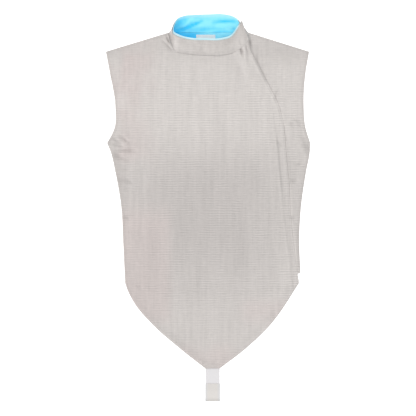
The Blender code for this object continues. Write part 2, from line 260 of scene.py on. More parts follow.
# Creases: from one end to the other, width, height (below zero for a trough) and how far the
# middle is pushed to the left of the run
CREASE = "name x y to_x to_y wide high bend"
FRONT_CREASES = table(
    CREASE,
    ("neck, left, outer trough", -110, 387, -83, 363, 7, -3, 2),
    ("neck, left, ridge", -102, 388, -84, 371, 6, 1.6, 1),
    ("neck, left, inner trough", -94, 393, -84, 374, 6, -4.2, 0),
    ("neck, left, tail", -83, 363, -58, 352, 7, -1.2, 1),
    ("neck, front, low", -40, 344, 18, 342, 9, -0.5, -1),
    ("collar end, trough", 74, 377, 80, 349, 5.5, -4.6, -1),
    ("collar end, ridge", 82, 372, 87, 350, 6, 1.4, 0),
    ("collar end, outer trough", 88, 374, 93, 352, 5, -2, 0),
    ("below collar end, ridge", 99, 353, 109, 334, 7, 1.1, 0),
    ("below collar end, trough", 91, 352, 97, 328, 8, -0.8, 0),
    ("upper chest, right", 60, 330, 84, 296, 18, -0.7, 3),
    ("upper chest, left", -132, 338, -96, 312, 20, -0.7, 3),
    ("shoulder, left", -196, 344, -160, 356, 12, -0.8, 0),
    ("left chest bump", -169, 326, -172, 325, 9, 0.8, 0),
    ("left chest small bump", -178, 321, -180, 320, 7, 0.6, 0),
    ("chest, slant", -150, 226, -110, 190, 26, -0.6, 4),
    ("underarm left, swell", -206, 150, -184, 126, 46, 3, 0),
    ("underarm left, third trough", -223, 149, -190, 139, 6, -3.6, -1),
    ("underarm left, tail", -200, 113, -181, 108, 7, -2.6, 0),
    ("underarm left, upper trough", -224, 161, -200, 147, 7, -5.2, 1),
    ("underarm left, inner trough", -205, 165, -182, 149, 7, -5, 1),
    ("underarm left, ridge", -214, 155, -196, 144, 5, 1, 1),
    ("underarm left, low trough", -209, 130, -170, 129, 6, -4.6, 1),
    ("underarm left, patch", -214, 120, -200, 116, 10, -4.5, 0),
    ("ribs left, upper", -204, 92, -184, 88, 8, -0.8, 0),
    ("ribs left, trough", -203, 64, -176, 58, 8, -4.8, 1),
    ("ribs left, bump", -168, 57, -165, 57, 9, 0.9, 0),
    ("ribs left, under", -194, 44, -170, 38, 9, -1.2, 0),
    ("waist left", -194, -22, -182, -26, 7, -4, 0),
    ("waist left, tail", -184, -20, -168, -18, 6, -1, 0),
    ("waist left, low", -190, -52, -170, -60, 11, -0.6, 0),
    ("hip left, upper", -182, -96, -168, -104, 7, -0.7, 1),
    ("hip left, trough", -172, -120, -158, -128, 8, -0.7, 0),
    ("hip corner left", -171, -176, -154, -187, 9, -1.6, 0),
    ("below hip, left", -150, -214, -128, -226, 12, -0.6, 0),
    ("underarm right, trough", 154, 151, 171, 142, 5, -1.4, 2),
    ("underarm right, ridge", 150, 158, 168, 151, 6, 0.8, 0),
    ("front, right of middle", 96, 128, 118, 40, 26, -0.6, 5),
    ("front, long slant", 20, 250, 46, 120, 34, -0.5, 6),
    ("front, low slant", -70, 40, -44, -90, 36, -0.5, -6),
    ("belly, right", 74, -60, 92, -170, 30, -0.6, 5),
    ("belly, left", -112, -110, -88, -216, 30, -0.6, -5),
    ("side right, hollow by the collar", 94, 392, 99, 366, 5, -3.2, 0),
    ("side right, vertical", 117, 376, 113, 334, 6, -1.6, 1),
    ("side right, shoulder", 150, 366, 178, 354, 12, -0.7, 0),
    ("side right, bump", 154, 260, 156, 257, 12, 1.3, 0),
    ("side right, bump's hollow", 164, 270, 158, 246, 6, -1.8, -4),
    ("side right, armhole, first", 199, 202, 217, 194, 4.5, -3.4, 0),
    ("side right, armhole, second", 188, 193, 201, 189, 4.5, -2.4, 0),
    ("side right, armhole, third", 206, 191, 221, 185, 4.5, -2.6, 0),
    ("side right, underarm", 222, 158, 231, 126, 8, -3, 0),
    ("side right, underarm, light", 224, 122, 226, 118, 8, 0.8, 0),
    ("side right, low ribs", 203, 100, 219, 96, 7, -1.6, 0),
    ("side right, ribs", 193, 63, 204, 60, 8, -2.2, 0),
    ("side right, waist", 192, -22, 200, -26, 7, -3.4, 0),
    ("side right, hip", 204, -84, 208, -112, 6, -0.5, 0),
    ("tip, far left", -23, -349, -20, -352, 7, 2, 0),
    ("tip, left", -14, -354.5, -12, -357, 5, 3.2, 0),
    ("tip, near left", -6, -359.5, -4, -361.5, 5, 3.6, 0),
    ("tip, near right", 22, -354.5, 25, -356.5, 5, 3.4, 0),
    ("tip, right", 29, -360, 30, -361, 5, 2.6, 0),
    ("tip, far right", 56, -334, 59, -337, 7, 1.8, 0),
)
COLLAR_CREASES = table(
    CREASE,
    ("end, inner trough", 73, 384, 77, 364, 6, -1.6, 1),
    ("end, ridge", 80, 392, 84, 372, 7, 1, 0),
    ("end, outer trough", 85, 408, 88, 388, 7, -0.9, 0),
    ("front, across", -30, 374, 20, 373, 9, -0.7, -1),
    ("front, across, upper", -10, 381, 34, 380, 7, 0.5, 0),
    ("front, left, slant", -66, 384, -42, 372, 9, -0.7, 1),
    ("front, right, slant", 38, 372, 60, 382, 9, -0.6, 1),
    ("left turn, trough", -84, 396, -80, 382, 6, -0.8, 0),
)
BACK_CREASES = table(
    CREASE,
    ("across the shoulders", -120, 330, 60, 344, 30, 0.9, 14),
    ("shoulder blade left", -160, 290, -70, 240, 24, 1.1, 8),
    ("shoulder blade right", 150, 270, 60, 226, 26, 1, -9),
    ("spine, upper", -12, 210, 4, 90, 22, 0.8, 5),
    ("small of the back", -90, 30, 70, 18, 26, 1.2, -9),
    ("waist left", -180, 34, -110, 8, 18, 0.9, 5),
    ("waist right", 186, 16, 118, -14, 18, 0.9, -5),
    ("above hem left", -120, -64, -40, -104, 24, 0.8, 6),
    ("above hem right", 128, -50, 66, -112, 24, 0.8, -6),
    ("underarm left", -204, 138, -150, 104, 14, 0.9, 3),
    ("underarm right", 208, 140, 160, 112, 14, 0.9, -3),
)
# Of the lining inside the neck
LINING_CREASES = table(
    CREASE,
    ("left diagonal", -72, 405, -14, 429, 6, -2.6, -1),
    ("left corner band", -76, 414, -54, 437, 8, -0.5, 1),
    ("left stripe", -56, 416, -34, 438, 7, 1.2, 0),
    ("left corner hollow", -76, 408, -72, 406, 8, -0.4, 0),
    ("top left ridge", -48, 431, -22, 431, 7, 1.2, 0),
    ("middle ridge", -44, 411, 4, 427, 12, 0.9, -2),
    ("right streak", 12, 426, 66, 428.5, 8, -2.2, 1),
    ("right ridge", 24, 419, 60, 417, 10, 1.5, 1),
    ("low middle streak", -18, 408, 38, 412, 6, -1, 1),
    ("low left hollow", -40, 410, -2, 413, 12, -0.8, 0),
    ("right spot", 59, 414, 61, 410, 7, -1.8, 0),
    ("right foot streak", 12, 404.5, 58, 405.5, 5, -1.3, 0),
    ("left of label", -58, 393, -24, 395, 8, -1, 0),
    ("right of label", 22, 396, 62, 399, 8, 0.8, 0),
)

# Broad patches of painted shade, or below zero painted light: middle, width and height
PATCHES = table(
    "name x y wide tall dull",
    ("underarm left", -208, 138, 36, 44, 0.06),
    ("ribs left", -200, 96, 26, 40, 0.03),
    ("hip left", -168, -165, 50, 60, 0.032),
    ("hip left, inner", -125, -118, 86, 150, 0.042),
    ("waist left, outer", -178, 44, 60, 84, -0.034),
    ("underarm left, inner", -172, 148, 54, 50, 0.02),
    ("below the hip, left", -118, -232, 66, 66, 0.026),
    ("beside the tip, left", -70, -300, 50, 40, 0.018),
    ("tip", 9, -369, 44, 22, 0.03),
    ("tip, near left", -5, -361, 7, 4, -0.045),
    ("tip, left", -13, -356.5, 7, 4, -0.03),
    ("tip, near right", 23, -355.5, 7, 4, -0.045),
    ("tip, right", 29, -361, 6, 4, -0.03),
    ("beside the topstitching", 146, 86, 20, 90, 0.034),
    ("below the underarm, right", 194, 88, 24, 40, 0.03),
    ("underarm left, corner", -226, 153, 7, 8, 0.1),
    ("underarm left, edge", -214, 124, 9, 18, 0.08),
    ("underarm left, inner", -162, 143, 30, 7, 0.035),
    ("ribs left, edge", -200, 52, 6, 8, 0.06),
    ("underarm right, corner", 229, 136, 7, 16, 0.09),
    ("low, right", 158, -160, 40, 60, 0.03),
    ("hip corner right", 196, -190, 24, 30, 0.025),
    ("chest left", -82, 290, 64, 54, 0.026),
    ("chest middle", 0, 304, 60, 40, 0.018),
    ("waist left", -134, -74, 46, 74, 0.038),
    ("outer front, right", 155, -30, 28, 260, 0.02),
    ("underarm right", 228, 146, 20, 26, 0.03),
    ("shoulder left", -190, 356, 60, 24, 0.014),
    ("shoulder right", 180, 360, 70, 34, 0.045),
    ("armhole left", -212, 240, 36, 80, -0.032),
    ("armhole right", 204, 216, 40, 60, -0.016),
    ("collar's foot, right", 54, 356, 40, 18, -0.022),
    ("waist right", 76, 40, 50, 90, -0.016),
    ("hip right", 196, -60, 22, 70, -0.018),
)

# Narrow strips of painted shade along a line, or below zero painted light: how far from the
# line they are, their width, and the levels between which they come in and go out. LOW and HIGH
# are past the vest's ends, so that a strip with them does not come in or go out.
STRIP = "name away wide dull start full fade end"
LOW, HIGH = (-999, -998), (998, 999)
POINT_END, BREAST = (-220, -178), (168, 196, 274, 292)
HELD_FROM, HELD_TO = (20, 60), (142, 176)
OUTLINE_STRIPS = table(
    STRIP,
    ("turned edge", 3.2, 1.8, 0.075, *LOW, *HIGH),
    ("turned edge, point", 3.2, 1.8, -0.045, *LOW, *POINT_END),
    ("beside it, point", 5.2, 1.8, -0.035, *LOW, *POINT_END),
    ("inside the hem, point", 11.5, 6.5, 0.04, *LOW, *POINT_END),
    ("hem, armhole", 7.2, 2.2, -0.034, 150, 176, 326, 348),
)
# On the front, from its facing's topstitching and from its free edge
ROW_STRIPS = table(
    STRIP,
    ("stitches", 0, 2.2, 0.08, *LOW, *HIGH),
    ("stitches, held down", 0, 2.2, 0.17, *HELD_FROM, *HELD_TO),
)
EDGE_STRIPS = table(
    STRIP,
    ("waist to armhole", 0, 2.6, 0.07, 50, 90, 190, 225),
    ("below the waist", 0, 2.4, -0.075, *LOW, -6, 34),
    ("breast", 0, 2.4, -0.1, *BREAST),
    ("below the collar", 2, 1.8, 0.13, 280, 298, 338, 352),
)
# On the side panel, from the front's free edge and across from it
FLAP_STRIPS = table(
    STRIP,
    ("all along", 0, 4, -0.03, *LOW, *HIGH),
    ("below the waist", 0, 4, -0.03, *LOW, -6, 34),
    ("above the waist", 0, 4, 0.05, -20, 60, *HIGH),
    ("breast", 0, 4, -0.07, *BREAST),
    ("upper chest", 0, 4, 0.03, 225, 290, *HIGH),
)
BESIDE_STRIPS = table(
    STRIP,
    ("ribs", 4.5, 3.4, 0.075, 24, 56, 148, 170),
    ("upper chest", 3.2, 2, -0.055, 280, 298, 346, 362),
)


# Sizes and colours that a user would change


def measure(name, description, default):
    return FloatProperty(name=name, description=description, default=default * MM, unit="LENGTH")


def factor(name, description, default=1.0):
    return FloatProperty(name=name, description=description, default=default, subtype="FACTOR")


def watts(name, description, default):
    return FloatProperty(name=name, description=description, default=default, unit="POWER")


def tint(name, description, *default):
    return FloatVectorProperty(
        name=name, description=description, default=default, size=3, subtype="COLOR"
    )


class LameSizes(bpy.types.PropertyGroup):
    """Sizes of the vest's cloth and sewing"""

    hem: measure("Hem", "Width of the turned hems", 7.0)
    stitch: measure("Stitch", "Length of one stitch", 2.3)
    thread: measure("Thread", "Thickness of the thread", 0.45)
    weave: measure("Weave", "Distance between threads", 1.3)
    crease: factor("Creases", "Depth of the creases")
    wrinkle: factor("Lining wrinkles", "Depth of the wrinkles in the lining")


class LameColours(bpy.types.PropertyGroup):
    """Colours of the vest"""

    # metal and metal_shaded: a lit and a shaded copy of the cloth's colour, mixed as painted light
    metal: tint("Metal cloth", "Where it is brightest", 0.602, 0.569, 0.547)
    metal_shaded: tint("Metal cloth, dark", "Where it is dullest", 0.496, 0.466, 0.450)
    metal_warm: tint("Metal cloth, warm", "Its copper-tinted patches", 0.575, 0.516, 0.499)
    lining: tint("Lining", "Where it lies open", 0.26, 0.84, 1.0)
    # lining_shaded: the lining's blue deepened, for painted shade in its folds
    lining_shaded: tint("Lining, deep", "In its folds", 0.02, 0.60, 1.0)
    rim: tint("Rim", "Bound top edge of the lining", 0.62, 0.88, 0.94)
    label: tint("Label", "Blank woven label", 0.88, 0.88, 0.88)
    elastic: tint("Elastic", "Elastic of the strap", 0.780, 0.763, 0.775)
    tab: tint("Tab", "Tab at the strap's end", 0.730, 0.700, 0.672)
    thread: tint("Thread", "Sewing thread", 0.52, 0.50, 0.48)


class LameStage(bpy.types.PropertyGroup):
    """Floor, light and camera"""

    floor: tint("Floor", "Colour of the floor", 0.9, 0.9, 0.9)
    surround: factor("Surround", "Light from all round", 0.74)
    glow: factor("Glow", "Light from inside the floor", 0.55)
    above: watts("Above", "Lamp above", 48.0)
    key: watts("Key", "Lamp from the left", 46.0)
    top: watts("Top", "Lamp from the collar's end", 22.0)
    lens: FloatProperty(
        name="Lens", description="Focal length", default=200.0, subtype="DISTANCE_CAMERA"
    )
    height: measure("Camera height", "Above the floor", 5316.0)


# Lines and grids


def rise(value, low, high):
    """0 below low, 1 above high and an S curve between."""
    t = np.clip((value - low) / (high - low), 0.0, 1.0)
    return t * t * (3.0 - 2.0 * t)


def fall(value, low, high):
    """1 below low, 0 above high and an S curve between."""
    return 1.0 - rise(value, low, high)


def bell(away, wide):
    """1 in the middle of a bump, dying away to both sides."""
    return np.exp(-((away / wide) ** 2))


def unit(vectors):
    """Vectors brought to a length of 1."""
    return vectors / np.linalg.norm(vectors, axis=-1)[..., None]


def through(points, at, where):
    """A smooth curve through points given at rising places, read at the places in where."""
    slopes = np.gradient(points, at, axis=0)
    i = np.clip(np.searchsorted(at, where, side="right") - 1, 0, len(at) - 2)
    span = (at[i + 1] - at[i])[:, None]
    t = (where - at[i])[:, None] / span
    start = (1 + 2 * t) * (1 - t) ** 2 * points[i] + t * (1 - t) ** 2 * span * slopes[i]
    end = t**2 * (3 - 2 * t) * points[i + 1] + t**2 * (t - 1) * span * slopes[i + 1]
    return start + end


def lengths(points):
    """Distance along a line of points, from its start."""
    return np.concatenate([[0.0], np.cumsum(np.linalg.norm(np.diff(points, axis=0), axis=1))])


def at_share(line, share):
    """Places on a line at shares of its length."""
    along = lengths(line)
    return np.stack([np.interp(share * along[-1], along, line[:, k]) for k in (0, 1)], axis=-1)


def smooth(points, steps):
    """Evenly spaced points on a smooth curve through the given ones."""
    points = np.array(points, float)
    at = lengths(points)
    fine = through(points, at, np.linspace(0.0, at[-1], FINE_STEPS * len(points)))
    return at_share(fine, np.linspace(0.0, 1.0, steps + 1))


def chain(*lines):
    """Joins lines end to end, keeping each shared point once."""
    return np.concatenate([line[:-1] for line in lines[:-1]] + [lines[-1]])


def nearest_on(line, x, y):
    """Shortest distance from each place to a line of points, and how far along it that is."""
    place = np.stack(np.broadcast_arrays(x, y), axis=-1).astype(float)
    best = np.full(place.shape[:-1], np.inf)
    along = np.zeros(place.shape[:-1])
    for a, b, start in zip(line[:-1], line[1:], lengths(line)):
        run = b - a
        t = np.clip(((place - a) @ run) / max(run @ run, 1e-9), 0.0, 1.0)
        off = place - a - t[..., None] * run
        distance = np.sqrt(off[..., 0] ** 2 + off[..., 1] ** 2)
        closer = distance < best
        best = np.where(closer, distance, best)
        along = np.where(closer, start + t * np.linalg.norm(run), along)
    return best, along


def distance_to(line, x, y):
    """Shortest distance from each place to a line of points."""
    return nearest_on(line, x, y)[0]


def past(marks, x, y):
    """How far places lie to the right of a line through a table of marks."""
    return x - np.interp(y, [mark.y for mark in marks[::-1]], [mark.x for mark in marks[::-1]])


def between_edges(edges, u, v):
    """Places inside four edges; left and right run up, bottom and top run to the right. The
    shapes of the bottom and the top fade quickly towards the middle."""
    bottom, left, right, top = edges
    s, t = u[..., None], v[..., None]
    place = (1 - s) * at_share(left, v) + s * at_share(right, v)
    for line, weight in ((bottom, (1 - t) ** 2.5), (top, t**2.5)):
        straight = (1 - s) * line[0] + s * line[-1]
        place = place + weight * (at_share(line, u) - straight)
    return place


def share_per_mm(edges, edge):
    """How much of the grid lies in a millimetre next to an edge, along that edge."""
    along = np.linspace(0.0, 1.0, 241)
    level = {"bottom": 0, "top": 1, "left": 0, "right": 1}[edge]
    places = []
    for off in (0.0, NEAR_EDGE):
        across = np.full_like(along, abs(level - off))
        u, v = (along, across) if edge in ("bottom", "top") else (across, along)
        places.append(between_edges(edges, u, v))
    line, inside = places[0], places[1] - places[0]
    run = unit(np.gradient(line, axis=0))
    off = np.abs(inside[:, 0] * run[:, 1] - inside[:, 1] * run[:, 0])
    rate = NEAR_EDGE / np.maximum(off, 0.6 * np.linalg.norm(inside, axis=1))
    kernel = np.hanning(25) / np.hanning(25).sum()
    rate = np.convolve(np.pad(rate, 12, mode="edge"), kernel, mode="valid")
    return lambda share: np.interp(share, along, rate)


def graded(index, count, low, high):
    """Shares across a grid, with its lines close together near both edges."""
    near = np.arange(len(EDGE_ROWS))
    last = len(EDGE_ROWS) - 1
    start, end = EDGE_ROWS[-1] * low, 1 - EDGE_ROWS[-1] * high
    middle = start + (end - start) * (index - last) / (count - 1 - 2 * last)
    first = np.interp(index, near, EDGE_ROWS) * low
    final = 1 - np.interp(count - 1 - index, near, EDGE_ROWS) * high
    return np.where(index < last, first, np.where(index > count - 1 - last, final, middle))


def fine_grid(edges, columns, rows):
    """A grid of places inside four edges, fine along all of them."""
    row, column = np.mgrid[0:rows, 0:columns]
    u, v = column / (columns - 1), row / (rows - 1)
    bottom, left, right, top = (
        share_per_mm(edges, edge) for edge in ("bottom", "left", "right", "top")
    )
    for _ in range(6):
        u = graded(column, columns, left(v), right(v))
        v = graded(row, rows, bottom(u), top(u))
    return between_edges(edges, u, v)


# Outlines


def side_line(levels, side, steps=OUTLINE_STEPS):
    """The outline of one side through a table of levels, from the lowest row up."""
    return smooth([(getattr(level, side), level.y) for level in reversed(levels)], steps)


def marked_line(marks, steps):
    """A line through a table of marks, from the lowest up."""
    return smooth([(mark.x, mark.y) for mark in reversed(marks)], steps)


def station_z(row):
    """Height of the outer face where a station is sewn on."""
    rest = {"front": front_rest, "side": side_rest}.get(row.on)
    return float(rest(row.base_x, row.base_y)) + CLOTH if rest else row.base_z


def collar_lines(fine=COLLAR_FINE):
    """The seam and the top edge of the collar's outer face."""
    bases = [(row.base_x, row.base_y, station_z(row)) for row in COLLAR]
    tops = [(row.top_x, row.top_y, row.top_z) for row in COLLAR]
    ends = np.array([bases, tops], float)
    at = lengths(ends.mean(axis=0)[:, :2])
    places = [at[:1]]
    for start, stop, row in zip(at[:-1], at[1:], COLLAR[1:]):
        places.append(np.linspace(start, stop, row.steps * fine + 1)[1:])
    places = np.concatenate(places)
    return [np.maximum(through(line, at, places), (-np.inf, -np.inf, 0.0)) for line in ends]


def station_column(name):
    """The number of the collar's column at a named station."""
    place = [row.name for row in COLLAR].index(name)
    return COLLAR_FINE * sum(row.steps for row in COLLAR[: place + 1])


def neckline(first, last):
    """The seam under the collar between two stations, moved away from the collar by a gap."""
    part = slice(station_column(first), station_column(last) + 1)
    base, top = (line[part, :2] for line in collar_lines())
    along = np.gradient(base, axis=0)
    across = unit(np.stack([along[:, 1], -along[:, 0]], axis=1))
    return base + NECK_GAP * np.sign(np.sum(across * (base - top), axis=1))[:, None] * across


def shoulder_tip(side):
    return np.array([getattr(ARMHOLE[0], side), ARMHOLE[0].y])


def neck_point(side):
    """Where the shoulder seam meets the collar."""
    row = next(row for row in COLLAR if row.name == side + " turn")
    return np.array([row.base_x, row.base_y])


def seams():
    """The line on which the front is sewn down or turned under: all its outline but the neck."""
    halves = []
    for side in ("left", "right"):
        lines = [side_line(levels, side, SEAM_STEPS) for levels in (POINT, SIDE, ARMHOLE)]
        halves.append(chain(*lines, np.array([shoulder_tip(side), neck_point(side)])))
    return np.concatenate([halves[0][::-1], halves[1]])


def down_to_hem(side):
    """The outline from the back's hem to the shoulder."""
    corner = BACK_HEM_Y + (HEM_RISE if side == "right" else 0.0)
    levels = SIDE[:-1] + (SIDE[-1]._replace(y=corner),)
    return chain(side_line(levels, side), side_line(ARMHOLE, side))


def front_edges():
    """Bottom, left, right and top edge of the front, as for the other panels."""
    neck = neckline("left turn", "end")
    shoulder = smooth([shoulder_tip("left"), neck[0]], 40)
    left = chain(side_line(SIDE, "left"), side_line(ARMHOLE, "left"), shoulder)
    hem_left = np.concatenate([left[:1], side_line(POINT, "left")[::-1]])
    hem_right = side_line(POINT, "right")
    bottom = chain(hem_left, smooth([hem_left[-1], hem_right[0]], 6), hem_right)
    right = marked_line(CLOSURE, 2 * OUTLINE_STEPS)
    right[0], right[-1] = bottom[-1], neck[-1]
    return bottom, left, right, neck


def side_front_edges():
    right = down_to_hem("right")
    neck = neckline("underlap end", "right turn")
    marks = [(mark.x - LAP, mark.y) for mark in reversed(CLOSURE) if mark.y < LAP_TOP_Y]
    marks = [(marks[0][0], BACK_HEM_Y), *marks[1:], tuple(neck[0])]
    left = chain(smooth(marks, 2 * OUTLINE_STEPS), neck)
    top = smooth([neck[-1], shoulder_tip("right")], 20)
    return smooth([left[0], right[0]], 12), left, right, top


def back_edges():
    left, right = down_to_hem("left"), down_to_hem("right")
    neck = neckline("right turn", "left turn")[::-1]
    shoulder_left = smooth([shoulder_tip("left"), neck[0]], 20)
    shoulder_right = smooth([neck[-1], shoulder_tip("right")], 20)
    return smooth([left[0], right[0]], 20), left, right, chain(shoulder_left, neck, shoulder_right)


# Heights


def near_neck(x, y):
    """1 round the neck, fading to 0 away from it."""
    reach = np.hypot((x - NECK[0]) / NECK_REACH[0], (y - NECK[1]) / NECK_REACH[1])
    return fall(reach, 1.0, NECK_FADE)


def folds(x, y):
    """Height of the broad folds."""
    total = 0.0
    for fold in FOLDS:
        turn = np.radians(fold.turn)
        along = (x - fold.x) * np.cos(turn) + (y - fold.y) * np.sin(turn)
        across = (y - fold.y) * np.cos(turn) - (x - fold.x) * np.sin(turn)
        total = total + fold.high * bell(2 * along, fold.long) * bell(2 * across, fold.wide)
    return total


def creases(rows, x, y):
    """Height of a table of creases, each deepest in its middle."""
    total = 0.0
    t = np.linspace(0.0, 1.0, 9)[:, None]
    for crease in rows:
        start = np.array([crease.x, crease.y])
        run = np.array([crease.to_x, crease.to_y]) - start
        side = unit(np.array([-run[1], run[0]]))
        line = start + t * run + 4 * t * (1 - t) * crease.bend * side
        distance, along = nearest_on(line, x, y)
        swell = 0.4 + 0.6 * np.sin(np.pi * along / lengths(line)[-1])
        total = total + crease.high * swell * bell(2 * distance, crease.wide)
    return total


def unevenness(x, y):
    """Slight waves that keep the cloth from lying dead flat."""
    return (
        0.16 * np.sin(x / 17 + y / 61 + 0.6)
        + 0.14 * np.sin(x / 31 - y / 23 + 2.1)
        + 0.12 * np.sin(x / 11.5 + 1.3 * np.sin(y / 47) + 4.0)
        + 0.12 * np.sin(y / 13.5 + 1.6 * np.sin(x / 53) + 1.2)
        + 0.20 * np.sin(x / 43 + y / 37 + 5.2)
    )


def soft_floor(height):
    """A height kept above zero without a hard edge."""
    return 0.5 * (height + np.hypot(height, 0.3))


def bulge(x, y):
    """How far the closed vest would stand up with its broad folds, if nothing held it down."""
    return LOFT * rise(y, *FLAT) + NECK_LOFT * near_neck(x, y) + folds(x, y)


def away_from_seams(x, y):
    """0 on the seams, nearing 1 away from them."""
    return 1.0 - np.exp(-distance_to(seams(), x, y) / ROUNDING)


def side_rest(x, y):
    """Underside of the cloth that lies over the back, with its broad folds only."""
    return SEAM_Z * rise(y, *HANG) + away_from_seams(x, y) * bulge(x, y)


def front_lift(x, y):
    """How much the front is lifted over the side panel and over the strap."""
    over = rise(past(CLOSURE, x, y), -LAP - LAP_FADE, -LAP - LAP_FLAT) * rise(y, *HANG)
    gap = LAP_GAP[0] + (LAP_GAP[1] - LAP_GAP[0]) * rise(y, *LAP_EASE)
    gap = gap + HEM_GAP * fall(y, *HEM_LEVELS)
    lap = (CLOTH + gap + NECK_LAP * near_neck(x, y)) * over
    return lap + (STRAP_WALL + SEAM_GAP) * fall(y, *STRAP_EASE)


def front_rest(x, y):
    """Underside of the front, with its broad folds only."""
    return side_rest(x, y) + front_lift(x, y)


def neck_groove(x, y):
    """Depth of the groove along the collar's seam, which is soft and dies away to the left."""
    front = rise(x, -66.0, -44.0) * fall(x, 56.0, 66.0) * (y < 372.0)
    return 0.1 + 0.34 * front + 0.5 * rise(y, 370.0, 384.0) * (x < -60.0)


def laid(x, y):
    """Underside of the cloth that lies over the back, with every crease."""
    seam = distance_to(seams(), x, y)
    neck = distance_to(collar_lines(1)[0][:, :2], x, y)
    sewn = (1.0 - bell(seam, 6.0)) * (1.0 - bell(neck, 3.0))
    depth = bpy.context.scene.lame_sizes.crease
    fine = sewn * depth * (creases(FRONT_CREASES, x, y) + unevenness(x, y))
    fine = fine - neck_groove(x, y) * bell(neck, 1.8)
    loft = (1.0 - np.exp(-seam / ROUNDING)) * bulge(x, y)
    return SEAM_Z * rise(y, *HANG) + soft_floor(loft + fine)


def beside_flap(x, y):
    """How much the side panel comes up beside the flap, so that the two lie flush low down."""
    low = fall(y, *LAP_EASE) * rise(y, *HANG)
    held = 1.0 - np.exp(-distance_to(seams(), x, y) / 9.0)
    under = 0.5 * CLOTH * rise(past(CLOSURE, x, y), -6.0, -0.5)
    out = (0.5 * CLOTH + LAP_GAP[0]) * rise(past(CLOSURE, x, y), 0.2, 3.5)
    return low * held * (under + out)


def back_lift(x, y):
    """How far the back's creases lift it off the table, kept under the front."""
    room = np.maximum(laid(x, y) - CLOTH - BACK_GAP, 0.02)
    wanted = np.maximum(creases(BACK_CREASES, x, y) + 0.3 * unevenness(x, y), 0.0)
    lift = room * (1.0 - np.exp(-away_from_seams(x, y) * wanted / room))
    return lift * (1.0 - near_neck(x, y))


def hem_shape(hems, x, y):
    """Extra thickness and lift along sewn hems: a double layer, a sunk row of stitches and the
    puckers that the stitches draw up. Each hem is a line and the height of its puckers."""
    width = bpy.context.scene.lame_sizes.hem / MM
    thicker = lift = 0.0
    for line, pucker in hems:
        distance, along = nearest_on(line, x, y)
        layer = HEM_LAYER * fall(distance, width - 0.6, width + 0.9)
        sunk = HEM_SUNK * bell(distance - width + STITCH_INSET, 0.75)
        thicker = np.maximum(thicker, layer) - sunk
        wander = 1.7 * np.sin(along / 23) + 1.1 * np.sin(along / 61 + 1)
        phase = along / PUCKER_STEP * 2 * np.pi + wander
        draw = (0.6 + 0.4 * np.sin(along / 37 + 2)) * (0.5 + 0.5 * np.sin(phase))
        lift = lift + pucker * draw * bell(distance - width - 1.0, 4.0)
    return thicker, lift


def rounded(distance, thickness):
    """Half thickness of a cloth that is rounded off at its outline."""
    t = np.clip(distance / (0.75 * thickness), 0.0, 1.0)
    return 0.5 * thickness * (0.22 + 0.78 * np.sqrt(1.0 - (1.0 - t) ** 2))


def strips(rows, away, y):
    """Painted shade, or below zero painted light, that a table of strips puts on the cloth."""
    total = 0.0
    for strip in rows:
        there = rise(y, strip.start, strip.full) * fall(y, strip.fade, strip.end)
        total = total + strip.dull * there * bell(away - strip.away, strip.wide)
    return total


def patches(x, y):
    """Painted shade, or below zero painted light, of the broad patches."""
    total = 0.0
    for patch in PATCHES:
        across, up = 2 * (x - patch.x) / patch.wide, 2 * (y - patch.y) / patch.tall
        total = total + patch.dull * np.exp(-0.5 * (across**2 + up**2))
    return total


def surfaces(underside, outline, hems, x, y):
    """Lower and upper face of a panel over its underside, and the painted shade and light on its
    cloth: in its creases, in its patches and where it turns over at its outline."""
    thicker, lift = hem_shape(hems, x, y)
    edge = distance_to(outline, x, y)
    half = rounded(edge, CLOTH + thicker)
    middle = underside + lift + 0.5 * (CLOTH + thicker)
    # Painted shade inside the outline, along the left side and the low left hem
    edge_shade = 0.018 * rise(-x, 120.0, 200.0) + 0.02 * rise(-y, 200.0, 300.0) * (x < 20.0)
    high = np.clip(creases(FRONT_CREASES, x, y), *SHADE_HEIGHTS)
    shade = strips(OUTLINE_STRIPS, edge, y) + bell(edge, 34.0) * edge_shade
    return middle - half, middle + half, shade + patches(x, y) - SHADE_PER_MM * high


def front_surfaces(x, y):
    bottom, left, right, _ = front_edges()
    outline = np.concatenate([left[::-1][::2], bottom[::2], right[::2]])
    row = distance_to(marked_line(FACING_ROW, 60), x, y)
    seen = fall(y, *ROW_SEEN)
    seam = ROW_HEIGHT * seen * (bell(row, 4.0) - bell(row, 1.3))
    under = laid(x, y) + front_lift(x, y) + np.maximum(seam, -0.1)
    hems = ((bottom[::2], 0.45), (left[::2], 0.22))
    lower, upper, shade = surfaces(under, outline, hems, x, y)
    closure = distance_to(right[::2], x, y)
    flat = fall(y, *LAP_EASE) * fall(closure, 0.0, 9.0)
    lower = lower + 0.62 * flat * (upper - lower)
    held = rise(y, *HELD_FROM) * fall(y, *HELD_TO)
    # Painted shade and painted light along the topstitching row and the free edge
    shade = shade + seen * strips(ROW_STRIPS, row, y) + strips(EDGE_STRIPS, closure, y)
    shade = shade - 0.03 * held * bell(past(FACING_ROW, x, y) + 6.0, 2.6)
    return lower, upper, shade - 0.04 * flat * bell(closure, 4.2)


def side_front_surfaces(x, y):
    bottom, left, right, top = side_front_edges()
    outline = np.concatenate([left[:-20:2][::-1], bottom[::2], right[::2], top[::-1][::2]])
    hems = ((right[::2], 0.22), (bottom, 0.2), (top, 0.2))
    lower, upper, shade = surfaces(laid(x, y) + beside_flap(x, y), outline, hems, x, y)
    # Painted shadow and painted light on the side panel along the front's free edge
    flap = distance_to(marked_line(CLOSURE, 80), x, y)
    beside = strips(FLAP_STRIPS, flap, y) + strips(BESIDE_STRIPS, past(CLOSURE, x, y), y)
    return lower, upper, shade + beside


